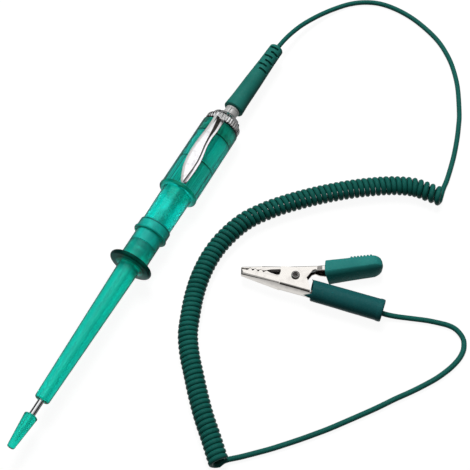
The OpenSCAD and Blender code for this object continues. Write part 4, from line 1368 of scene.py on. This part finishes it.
@dataclass
class PocketClip:
    """The pressed spring clip: a crowned strip with a lower border on its right, and its clamping ring."""

    # Station along the pen, then across it: left edge, shoulder, foot of the step and right edge
    outline: tuple[tuple[float, ...], ...] = (
        (31.6, -0.95, -1.6, -1.8, -2.5), (31.9, -0.8, -1.6, -1.82, -2.65), (32.6, -0.4, -1.65, -1.9, -2.9),
        (34.2, 0.3, -1.8, -2.08, -3.15), (37.0, 1.25, -2.12, -2.42, -3.42), (40.2, 1.7, -2.2, -2.5, -3.46),
        (43.0, 1.85, -1.9, -2.2, -3.1), (46.5, 1.84, -1.3, -1.6, -2.45), (50.0, 1.65, -0.9, -1.3, -2.2),
        (53.5, 1.5, -0.5, -1.5, -2.35), (57.0, 1.65, 0.1, -1.2, -2.15), (58.4, 1.8, 0.45, -0.9, -1.95),
        (59.5, 1.95, 0.9, -0.6, -1.8),
    )
    # Rows along the strip, and how much closer they lie at its tip
    rows: int = 44
    crowd: float = 1.25
    same_station: float = 0.001
    # Across the strip: which outline value to start from, how far in from it, and how far below the crown
    profile: tuple[tuple[int, float, float], ...] = (
        (0, 0.0, 0.2), (0, -0.2, 0.11), (0, -0.5, 0.05), (0, -0.9, 0.01), (1, 0.12, 0.0), (1, 0.0, 0.02),
        (2, 0.0, 0.0), (3, 0.16, 0.02), (3, 0.0, 0.2),
    )
    # Columns with another finish: the step's, with painted shade, and those of the worn left edge
    painted_shade_column: int = 5
    edge_columns: int = 3
    # The lower border: how far it drops, how much more where the step is wide, and the narrow step
    drops: Triple = (0.25, 0.2, 0.3)
    base: float = 7.07
    arch: float = 1.55
    middle: float = 46.4
    half: float = 14.6
    tip_roll: Pair = (0.8, 0.7)
    thick: float = 0.34
    ring_front: float = 60.42
    forward: float = 1.4
    smooth: float = 28.0

    def build(self, nodes: dict[str, Obj]) -> None:
        """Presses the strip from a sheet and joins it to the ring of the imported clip.

        Args:
            nodes: The frame's nodes by name.
        """
        strip = self.strip()
        ring = Piece.copied("clip_ring", nodes["pocket_clip"])
        ring.thing.data.transform(shift(0, 0, -self.forward) @ PEN.matrix().inverted())
        with ring.editing():
            front = Vector((0, 0, (self.ring_front - self.forward) * MM))
            ring.sliced(front, Vector((0, 0, -1)), drop=True)
            ring.choose("EDGE", lambda e: e.is_boundary)
            bpy.ops.mesh.edge_face_add()
        clip = Piece.joined("spring_clip", [strip, ring])
        clip.settled(PEN.matrix(), self.smooth)
        faces = clip.thing.data.polygons
        kinds = [face.material_index for face in faces]
        clip.dress(Finishes.plated, Finishes.inside, Finishes.worn)
        for face, kind in zip(faces, kinds, strict=True):
            face.material_index = kind
        clip.hand_over(Body.TESTER, "pocket_clip")

    def strip(self) -> Piece:
        """Shapes the strip from a flat grid, with the pen's axis along Z and its top towards -X.

        Returns:
            The strip.
        """
        clear()
        columns = len(self.profile) - 1
        bpy.ops.mesh.primitive_grid_add(x_subdivisions=columns, y_subdivisions=self.rows, size=1 * MM)
        strip = Piece("clip_strip", bpy.context.object)
        strip.dress(Finishes.plated, Finishes.inside, Finishes.worn)
        with strip.editing():
            with strip.shape() as shape:
                # Painted shade on the step's column, the worn finish on the left edge's columns
                for face in shape.faces:
                    column = math.floor((face.calc_center_median().x / MM + 0.5) * columns)
                    if column < self.edge_columns:
                        face.material_index = THIRD
                    elif column == self.painted_shade_column:
                        face.material_index = SECOND
                for vert in shape.verts:
                    column = round((vert.co.x / MM + 0.5) * columns)
                    vert.co = self.place(column, min(max(vert.co.y / MM + 0.5, 0.0), 1.0)) * MM
            strip.outwards()
            if sum(face.normal.x for face in bmesh.from_edit_mesh(strip.thing.data).faces) > 0:
                bpy.ops.mesh.flip_normals()
        strip.applied("SOLIDIFY", thickness=self.thick * MM, offset=-1.0)
        return strip

    def place(self, column: int, share: float) -> Vector:
        """Finds a point of the strip's top.

        Args:
            column: Which point of the profile, from the left edge.
            share: How far along the strip, from its tip.

        Returns:
            The point in millimetres.
        """
        start, end = self.outline[0][0], self.outline[-1][0]
        station = start + (end - start) * share ** self.crowd
        after = next(i for i, row in enumerate(self.outline) if row[0] >= station - self.same_station)
        low, high = self.outline[max(after - 1, 0)], self.outline[max(after, 1)]
        part = min(max((station - low[0]) / (high[0] - low[0]), 0.0), 1.0)
        across = [a + (b - a) * part for a, b in zip(low[1:], high[1:], strict=True)]
        which, inwards, below = self.profile[column]
        height = self.base + self.arch * (1 - ((station - self.middle) / self.half) ** 2) - below
        if which >= 2:
            least, more, narrow = self.drops
            height -= least + more * (across[1] - across[2] - narrow)
        roll, reach = self.tip_roll
        height -= roll * max(0.0, 1 - (station - start) / reach) ** 2
        return Vector((-height, across[which] + inwards, station))


@dataclass
class Lamp:
    """The small screw lamp: a threaded metal base, a glass and its filament."""

    start: float = 6.5
    base_end: float = 13.1
    glass_end: float = 23.1
    base_r: float = 2.52
    glass_r: float = 2.3
    wall: float = 0.28
    # The base's end contact from its start, and its shell's rim, beyond the base's radius and end
    contact: tuple[Pair, ...] = ((0, 0), (0.7, 0), (0.95, 0.25), (1.2, 0.7), (2.2, 0.75))
    shell_from: float = 1.0
    shell_rim: tuple[Pair, ...] = ((0, -0.9), (0.25, -0.7), (0.25, -0.4), (0, -0.2))
    thread_pitch: float = 0.95
    thread_wire: float = 0.36
    thread_rise: float = 1.3
    thread_turns: int = 4
    # Foot of the glass: radius beyond the glass's, and height over the base
    glass_foot: tuple[Pair, ...] = ((-0.35, 0.05), (-0.05, 0.8))
    dome_step: int = 11
    filament_r: float = 0.22
    filament_wire: float = 0.07
    filament_pitch: float = 0.16
    filament_turns: int = 10
    filament_rise: float = 5.6
    post_gap: float = 0.8
    post_r: float = 0.12
    post_sides: int = 10
    post_foot: float = 0.1
    post_point: float = 0.05
    bead_sides: int = 16
    # The bead's stations over the base, and its width across as a share of its depth
    bead: tuple[Pair, ...] = ((0, 2.2), (0.35, 2.3), (0.45, 2.6), (0.35, 2.9), (0, 3.0))
    bead_width: float = 2.6

    def build(self) -> None:
        """Builds the base, the glass and the filament, and puts them in the barrel."""
        made = ((self.base(), Finishes.contact, ("lamp",)), (self.glass(), Finishes.glass, ()),
                (self.filament(), Finishes.spring, ()))
        for piece, finish, nodes in made:
            piece.settled(PEN.matrix())
            piece.dress(finish)
            piece.hand_over(Body.TESTER, *nodes)

    def base(self) -> Piece:
        """Turns the base and winds its thread.

        Returns:
            The base.
        """
        start, end, r = self.start, self.base_end, self.base_r
        shell = Piece.turned("lamp_base", [
            *[(wide, start + up) for wide, up in self.contact], (r, start + self.shell_from),
            *[(r + wider, end + up) for wider, up in self.shell_rim], (self.glass_r, end), (0, end),
        ])
        thread = Piece.wound(
            "thread", self.thread_wire, r, start + self.thread_rise, self.thread_pitch, self.thread_turns
        )
        return Piece.joined("lamp_base", [shell, thread])

    def glass(self) -> Piece:
        """Turns the glass and gives it its wall.

        Returns:
            The glass.
        """
        r, end, foot = self.glass_r, self.glass_end, self.base_end
        angles = [math.radians(a) for a in range(0, 90, self.dome_step)]
        dome = [(r * math.cos(a), end - r + r * math.sin(a)) for a in angles]
        start = [(r + wider, foot + up) for wider, up in self.glass_foot]
        glass = Piece.turned("lamp_glass", [*start, *dome, (0, end)])
        glass.applied("SOLIDIFY", thickness=self.wall * MM, offset=-1.0)
        return glass

    def filament(self) -> Piece:
        """Winds the filament between its two posts on a glass bead.

        Returns:
            The filament with its posts.
        """
        foot, r, point = self.base_end, self.post_r, self.post_point
        height = foot + self.filament_rise
        posts = []
        for side in (-1, 1):
            post = Piece.turned("wire", [
                (0, foot + self.post_foot), (r, foot + self.post_foot + point),
                (r, height), (0, height + point),
            ], self.post_sides)
            post.thing.data.transform(shift(0, side * self.post_gap, 0))
            posts.append(post)
        coil = Piece.wound("coil", self.filament_wire, self.filament_r, -self.post_gap, self.filament_pitch,
                           self.filament_turns)
        coil.thing.data.transform(shift(0, 0, height) @ turn(90, "X"))
        bead = Piece.turned("bead", [(wide, foot + up) for wide, up in self.bead], self.bead_sides)
        bead.thing.data.transform(Matrix.Diagonal((1.0, self.bead_width, 1.0, 1.0)))
        return Piece.joined("lamp_filament", [*posts, coil, bead])


@dataclass
class ContactSpring:
    """The coil spring that presses the lamp's strip and the terminal together."""

    start: float = 44.4
    end: float = 55.0
    wire: float = 0.5
    radius: float = 3.25
    turns: int = 7
    play: float = 0.05
    smooth: float = 60.0

    def build(self) -> None:
        """Winds the spring between the strip and the terminal."""
        rise = (self.end - self.start - self.wire - 2 * self.play) / self.turns
        first = self.start + self.wire / 2 + self.play
        spring = Piece.wound("contact_coil", self.wire, self.radius, first, rise, self.turns)
        spring.settled(PEN.matrix(), self.smooth)
        spring.dress(Finishes.spring)
        spring.hand_over(Body.TESTER, "contact_spring")


@dataclass
class ToothedJaw:
    """One folded, toothed jaw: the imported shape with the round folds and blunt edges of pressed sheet."""

    node: str
    name: str
    body: Body
    fold: float
    fold_steps: int = 6
    edge: float = 0.14
    edge_angle: float = 38.0
    smooth: float = 12.0
    # An outer fold: shortest length in mm, least width of its spine, and how its two faces stand
    shortest: float = 0.8
    spine_width: float = 2.0
    slopes: Triple = (0.5, 0.3, 0.6)
    # Roots between the teeth: the first one's place, their pitch, how many, and how much deeper they go
    roots: tuple[float, float, int, float] = (10.2, 1.7, 4, 0.3)
    root_half: float = 0.12
    root_band: Pair = (-2.0, -0.9)
    # Faces: those that look straight out, the strip on a fold that gets dark painted shade, cut edges, the
    # round ears and the tail
    straight: float = 0.8
    fold_lean: Pair = (0.05, 0.5)
    wall_height: float = 1.0
    cut_height: float = 0.62
    ears: Pair = (7.0, 16.9)
    tail_from: float = -4.9

    def build(self, nodes: dict[str, Obj]) -> Obj:
        """Rounds the folds along the spine and blunts every edge.

        Args:
            nodes: The frame's nodes by name.

        Returns:
            The jaw.
        """
        jaw = Piece.copied(self.name, nodes[self.node])
        with jaw.editing():
            if self.body is Body.TESTER:
                self.notched(jaw)
            jaw.choose("EDGE", self.is_fold)
            bpy.ops.mesh.bevel(offset=self.fold * MM, segments=self.fold_steps, affect="EDGES",
                               clamp_overlap=False)
        jaw.applied("BEVEL", width=self.edge * MM, segments=2, limit_method="ANGLE",
                    angle_limit=math.radians(self.edge_angle), harden_normals=False, use_clamp_overlap=True)
        jaw.settled(smooth=self.smooth)
        jaw.dress(Finishes.jaw, Finishes.inside, Finishes.painted_shade_metal)
        self.paint_shade(jaw.thing.data)
        return jaw.hand_over(self.body, self.node)

    def notched(self, jaw: Piece) -> None:
        """Deepens the roots between the jaw's teeth to what the stamping leaves open.

        Args:
            jaw: The jaw, in edit mode.
        """
        first, pitch, count, deeper = self.roots
        back = CLIP.matrix().inverted()
        low, high = self.root_band

        def on_root(vert: bmesh.types.BMVert) -> bool:
            """Says whether a point lies on the root between two teeth.

            Args:
                vert: A point of the jaw.

            Returns:
                True for a point of a root.
            """
            place = back @ vert.co / MM
            nearest = first + pitch * min(max(round((place.x - first) / pitch), 0), count - 1)
            return abs(place.x - nearest) < self.root_half and low < place.y < high

        found = jaw.choose("VERT", on_root)
        bpy.ops.transform.translate(value=CLIP.matrix().to_3x3() @ Vector((0, deeper * MM, 0)))
        log.info("%s: %d root points", self.name, found)

    def paint_shade(self, mesh: bpy.types.Mesh) -> None:
        """Paints near-black shade on the faces that look inwards and on the back of the spine, and dark
        shade on the folds, the cut edges and the tail.

        Args:
            mesh: The jaw's mesh, already dressed.
        """
        back = CLIP.matrix().inverted()
        for face in mesh.polygons:
            middle, normal = back @ face.center / MM, back.to_3x3() @ face.normal
            heights = [mesh.vertices[i].co.z / MM for i in face.vertices]
            spread = max(heights) - min(heights)
            level, outwards = abs(normal.z), -normal.y if self.body is Body.LEVER else normal.y
            fold = outwards > self.straight and self.fold_lean[0] < level < self.fold_lean[1]
            faces_in = level > self.straight and normal.z * middle.z < 0
            back_side = outwards < -self.straight and spread > self.wall_height
            cut = level < self.fold_lean[1] and spread < self.cut_height
            tail = self.body is Body.TESTER and middle.x < self.tail_from
            # Painted shade: near-black inside and on the spine's back, dark on the folds, cut edges and
            # tail
            if faces_in or back_side:
                face.material_index = SECOND
            elif fold or tail or (cut and not self.ears[0] < middle.x < self.ears[1]):
                face.material_index = THIRD

    def is_fold(self, edge: bmesh.types.BMEdge) -> bool:
        """Says whether an edge is an outer fold between the spine and an ear.

        Args:
            edge: An edge of the jaw.

        Returns:
            True for an outer fold.
        """
        if len(edge.link_faces) != 2 or not edge.is_convex or edge.calc_length() < self.shortest * MM:
            return False
        spine, ear = sorted(edge.link_faces, key=lambda f: abs(f.normal.z))
        heights = [v.co.z for v in spine.verts]
        wide = max(heights) - min(heights) > self.spine_width * MM
        lies, upright, flat = self.slopes
        long = abs((edge.verts[0].co - edge.verts[1].co).normalized().z) < lies
        return wide and long and abs(spine.normal.z) < upright and abs(ear.normal.z) > flat


@dataclass
class JawSpring:
    """The coil spring round the pin, with a leg against each jaw."""

    wire: float = 0.6
    radius: float = 1.65
    start: float = -1.2
    pitch: float = 0.53
    turns: int = 4
    first: float = -250.0
    smooth: float = 60.0
    low_leg: tuple[Pair, ...] = ((-1.5, -2.3), (-2.6, -3.1), (-4.3, -4.5))
    high_leg: tuple[Pair, ...] = ((-2.2, 0.9), (-4, 2), (-7, 3.25))
    # Where the high leg starts to follow the lever and where it follows it wholly, as u, -v and z
    follow: tuple[Triple, Triple] = ((-0.6, -1.05, 0.0), (-1.3, -2.26, 0.0))

    def build(self) -> Obj:
        """Winds the coil and draws out its two legs.

        Returns:
            The spring.
        """
        spring = Piece.wound("jaw_coil", self.wire, self.radius, self.start, self.pitch, self.turns)
        spring.thing.data.transform(turn(self.first, "Z"))
        with spring.editing():
            self.draw_leg(spring, self.start, self.low_leg)
            self.draw_leg(spring, self.start + self.pitch * self.turns, self.high_leg)
        spring.settled(CLIP.matrix(), self.smooth)
        spring.dress(Finishes.spring)
        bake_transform(spring.thing)
        return spring.hand_over(None, "jaw_spring")

    def draw_leg(self, spring: Piece, height: float, leg: Sequence[Pair]) -> None:
        """Draws a leg out of an end face of the coil, place by place.

        Args:
            spring: The spring, in edit mode.
            height: Height of the end face.
            leg: The leg's places as u and v, in millimetres.
        """
        def is_end(face: bmesh.types.BMFace) -> bool:
            """Whether a face closes the wire at this height."""
            away = abs(face.calc_center_median().z - height * MM)
            return len(face.verts) > 4 and away < self.wire / 4 * MM

        if spring.choose("FACE", is_end) != 1:
            raise ValueError(f"no single end face at {height}")
        face = next(f for f in bmesh.from_edit_mesh(spring.thing.data).faces if f.select)
        at, facing = face.calc_center_median() / MM, face.normal.copy()
        for u, v in leg:
            to = Vector((u, -v, at.z))
            way = (to - at).normalized()
            spring.drawn_out(to - at)
            with spring.shape() as shape:
                bmesh.ops.rotate(shape, verts=[p for p in shape.verts if p.select], cent=to * MM,
                                 matrix=facing.rotation_difference(way).to_matrix())
            at, facing = to, way


@dataclass
class LowerBoot:
    """The round vinyl boot over the lower jaw's tail, with a pulled-out tab at its mouth."""

    front: Pair = (-4.75, -3.53)
    direction: float = 194.4
    wall: float = 0.75
    front_r: float = 3.4
    rear_r: float = 3.65
    length: float = 23.98
    sides: int = 72
    rim_depth: float = 1.1
    cut_back: float = 1.2
    # The bore's edge and the rounded mouth at the front, then the lip and the way back in at the rear, each
    # as radius beyond the bore's or the boot's own there, and as height or height beyond the end
    edge: tuple[Pair, ...] = ((0.0, 0.12), (0.1, 0.02))
    mouth: tuple[Pair, ...] = ((-0.2, 0.0), (-0.06, 0.07), (0.0, 0.25))
    lip: tuple[Pair, ...] = (
        (-0.14, -1.85), (-0.04, -1.6), (0.0, -1.4), (0.02, -0.8), (-0.05, -0.3), (-0.2, -0.08),
    )
    inwards: tuple[Pair, ...] = ((0.12, 0.0), (0.0, -0.12), (-0.05, -1.2))
    bore_from: float = 1.0
    # The even stretch: how many rings, and what it lacks of the rear's radius and of the length
    rings: int = 8
    lacks: Pair = (0.12, 2.25)
    # Pulls of the mouth's rim: angle round the mouth, half span, way along, outwards and up
    pulls: tuple[tuple[float, ...], ...] = ((241.0, 15.0, 2.5, 0.0, -0.95), (138.0, 9.0, 0.55, 0.6, 0.35))
    # Each pull's two steps: the share of its way and the scale at its end
    steps: tuple[Pair, Pair] = ((0.4, 0.66), (0.6, 0.12))
    rim_face: float = 0.13
    weld: float = 0.01
    waves: Pair = (0.09, 3.5)
    smooth: float = 50.0

    def build(self) -> Obj:
        """Turns the boot, draws its tabs out of the rim and makes its skin uneven.

        Returns:
            The boot.
        """
        front, rear, end = self.front_r, self.rear_r, self.length
        bore, rear_bore = front - self.wall, rear - self.wall
        wider, longer = rear - self.lacks[0] - front, end - self.lacks[1]
        shares = [k / self.rings for k in range(1, self.rings + 1)]
        boot = Piece.turned("cord_boot", [
            *[(bore + out, at) for out, at in self.edge],
            *[(front + out, at) for out, at in self.mouth],
            *[(front + wider * k, self.mouth[-1][1] + longer * k) for k in shares],
            *[(rear + out, end + at) for out, at in self.lip],
            *[(rear_bore + out, end + at) for out, at in self.inwards],
            (bore, self.bore_from), (bore, self.edge[0][1]),
        ], self.sides)
        with boot.editing():
            bpy.ops.mesh.select_all(action="SELECT")
            bpy.ops.mesh.remove_doubles(threshold=self.weld * MM)
            bpy.ops.mesh.normals_make_consistent(inside=False)
            for pull in self.pulls:
                self.pull(boot, *pull)
            self.slanted(boot)
        boot.waved(*self.waves)
        boot.settled(CLIP.flat(*self.front, self.direction) @ turn(90, "Y"), self.smooth)
        # The boots' vinyl painted darker, as shade on the lower boot
        boot.dress(Finishes.boot_shaded_copy)
        return boot.hand_over(Body.TESTER, "lower_boot")

    def slanted(self, boot: Piece) -> None:
        """Cuts the mouth back on its tab's side.

        Args:
            boot: The boot, in edit mode and drawn along Z.
        """
        tab = math.radians(self.pulls[0][0])
        with boot.shape() as shape:
            for vert in shape.verts:
                if vert.co.z < self.rim_depth * MM:
                    angle = math.atan2(vert.co.y, vert.co.x) - tab
                    vert.co.z += self.cut_back * MM * (1 + math.cos(angle)) / 2

    def pull(self, boot: Piece, at: float, half: float, along: float, out: float, up: float) -> None:
        """Draws one tab out of the mouth's rim in two steps.

        Args:
            boot: The boot, in edit mode and drawn along Z.
            at: Angle round the mouth of the tab's middle, in degrees.
            half: Half its span in degrees.
            along: Its length in millimetres.
            out: How far it leans outwards in millimetres.
            up: How far it leans up in millimetres.
        """
        def on_rim(face: bmesh.types.BMFace) -> bool:
            """Says whether a face of the rim lies within the tab's span.

            Args:
                face: A face of the boot.

            Returns:
                True for a face that is drawn out.
            """
            middle = face.calc_center_median()
            angle = math.degrees(math.atan2(middle.y, middle.x)) - at
            return middle.z < self.rim_face * MM and abs((angle + 180) % 360 - 180) < half

        boot.choose("FACE", on_rim)
        radial = Vector((math.cos(math.radians(at)), math.sin(math.radians(at)), 0))
        for share, scale in self.steps:
            step = Vector((0, 0, -along)) + radial * out + Vector((-up, 0, 0))
            boot.drawn_out(step * share, (scale, scale, 1))


@dataclass
class ThumbBoot:
    """The square vinyl boot over the lever, with the thumb's ridges on its outer side."""

    front: Pair = (-10.4, 3.0)
    direction: float = 168.2
    half_z: float = 3.5
    front_half: float = 3.25
    rear_half: float = 2.7
    start: float = -1.6
    length: float = 17.6
    wall: float = 0.7
    corner: float = 1.45
    corner_steps: int = 5
    blunt: float = 0.12
    blunt_angle: float = 40.0
    # The rounded rear end: each step's length, and its height and width as shares of the last one's
    end_steps: tuple[Triple, ...] = (
        (0.8, 0.93, 0.93), (0.8, 0.87, 0.86), (0.6, 0.8, 0.78), (0.4, 0.62, 0.6),
    )
    # How far the inner side leans in at the top, as a share of half the boot's height
    side_lean: float = 0.55
    ridges: int = 7
    ridge_start: float = 7.6
    ridge_pitch: float = 1.05
    ridge_foot: float = 0.66
    ridge_top: float = 0.6
    ridge_slack: float = 0.1
    ridge_h: float = 0.4
    # Least share of a normal along an axis that makes it a face of the outer side, of an end, of the mouth
    outer: float = 0.85
    facing: float = 0.9
    mouth_facing: float = 0.8
    mouth_u: float = -9.2
    mouth_lean: float = 17.0
    mouth_cuts: Triple = (0.45, 2.5, 5.0)
    waves: tuple[float, float, int] = (0.1, 4.0, 1)
    smooth: float = 45.0
    keep: float = 0.7

    def build(self) -> Obj:
        """Shapes the boot from a block, opens its mouth and gives it its wall.

        Returns:
            The boot.
        """
        boot = self.block()
        with boot.editing():
            self.ridged(boot)
        place = CLIP.flat(*self.front, self.direction)
        boot.thing.data.transform(place)
        with boot.editing():
            self.opened(boot)
        boot.applied("SOLIDIFY", thickness=self.wall * MM, offset=-1.0)
        boot.applied("BEVEL", width=self.blunt * MM, segments=2, limit_method="ANGLE",
                     angle_limit=math.radians(self.blunt_angle))
        boot.waved(*self.waves)
        boot.settled(smooth=self.smooth)
        boot.dress(Finishes.boot)
        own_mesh(boot.thing)
        return boot.hand_over(Body.LEVER, "upper_boot")

    def block(self) -> Piece:
        """Makes the block that the boot is shaped from, its rear end rounded.

        Returns:
            The block, drawn along X.
        """
        clear()
        length = self.length - sum(step for step, _, _ in self.end_steps) - self.start
        middle = Vector(((self.start + length / 2) * MM, 0, 0))
        bpy.ops.mesh.primitive_cube_add(size=1 * MM, location=middle)
        boot = Piece("thumb_boot", bpy.context.object)
        bpy.ops.object.transform_apply(location=True, rotation=True, scale=True)
        with boot.editing():
            bpy.ops.mesh.select_all(action="SELECT")
            size = (length, 2 * self.front_half, 2 * self.half_z)
            bpy.ops.transform.resize(value=size, center_override=middle)
            boot.choose(
                "EDGE", lambda e: abs((e.verts[0].co - e.verts[1].co).normalized().x) > self.facing
            )
            bpy.ops.mesh.bevel(offset=self.corner * MM, segments=self.corner_steps, affect="EDGES")
            boot.choose("FACE", lambda f: f.normal.x > self.facing)
            share = self.rear_half / self.front_half
            bpy.ops.transform.resize(value=(1, share, 1), center_override=(0, 0, 0))
            for step, high, wide in self.end_steps:
                boot.drawn_out(Vector((step, 0, 0)), (1, high, wide))
            with boot.shape() as shape:
                for vert in shape.verts:
                    if vert.co.y < 0 < vert.co.z:
                        vert.co.y *= 1 - self.side_lean * vert.co.z / (self.half_z * MM)
        return boot

    def ridged(self, boot: Piece) -> None:
        """Raises the thumb's ridges out of the boot's outer side.

        Args:
            boot: The block, in edit mode.
        """
        pitch, foot = self.ridge_pitch, self.ridge_foot * self.ridge_pitch
        for i in range(self.ridges):
            for edge in (0.0, foot):
                boot.sliced(Vector(((self.ridge_start + i * pitch + edge) * MM, 0, 0)), Vector((1, 0, 0)))

        def on_ridge(face: bmesh.types.BMFace) -> bool:
            """Says whether a face of the outer side lies under a ridge.

            Args:
                face: A face of the block.

            Returns:
                True for a face that is raised.
            """
            place = (face.calc_center_median().x / MM - self.ridge_start) / pitch
            inside = 0 < place < self.ridges and (place % 1) * pitch < foot
            return inside and face.normal.y > self.outer

        boot.choose("FACE", on_ridge)
        bpy.ops.mesh.extrude_region_move(TRANSFORM_OT_translate={"value": (0, self.ridge_h * MM, 0)})
        with boot.shape() as shape:
            for top in [v for v in shape.verts if v.select]:
                place = top.co.x / MM - self.ridge_start
                whole = math.floor(place / pitch + self.ridge_slack) * pitch
                middle = (whole + foot / 2 + self.ridge_start) * MM
                top.co.x = middle + (top.co.x - middle) * self.ridge_top

    def opened(self, boot: Piece) -> None:
        """Cuts the leaning mouth and opens it.

        Args:
            boot: The block, in place and in edit mode.
        """
        lean = math.radians(self.mouth_lean)
        place = CLIP.matrix() @ (Vector((self.mouth_u, 0, self.half_z)) * MM)
        normal = CLIP.matrix().to_3x3() @ Vector((math.cos(lean), 0, -math.sin(lean)))
        boot.choose("FACE", lambda f: f.normal.dot(normal) > self.mouth_facing)
        bpy.ops.mesh.delete(type="FACE")
        boot.sliced(place, normal, drop=True)
        for back in self.mouth_cuts:
            boot.sliced(place - normal * back * MM, normal)
        boot.outwards()


@dataclass
class CrocodileClip:
    """The two toothed jaws, their pin, their spring and the two vinyl boots."""

    jaws: tuple[ToothedJaw, ...] = (
        ToothedJaw("lower_jaw", "toothed_jaw", Body.TESTER, 0.75),
        ToothedJaw("upper_jaw", "lever_jaw", Body.LEVER, 0.3),
    )

    def build(self, nodes: dict[str, Obj]) -> list[Obj]:
        """Builds the clip's pieces and dresses its pin.

        Args:
            nodes: The frame's nodes by name.

        Returns:
            The pieces that go with the lead's far end.
        """
        Finishes.pin.dress(nodes["jaw_pin"])
        jaws = [jaw.build(nodes) for jaw in self.jaws]
        return [*jaws, nodes["jaw_pin"], JawSpring().build(), LowerBoot().build(), ThumbBoot().build()]


def main() -> None:
    """Builds the studio, the lead, the pen and the clip in order."""
    logging.basicConfig(level=logging.INFO, format="%(name)s: %(message)s")
    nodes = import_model()["nodes"]
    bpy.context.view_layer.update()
    Studio().build()
    cord = Lead()
    lead = cord.build()
    PenShell().build(nodes)
    KnurledCap().build(nodes)
    PocketClip().build(nodes)
    Lamp().build()
    ContactSpring().build()
    CrocodileClip().build(nodes)
    clear()


if __name__ == "__main__":
    main()
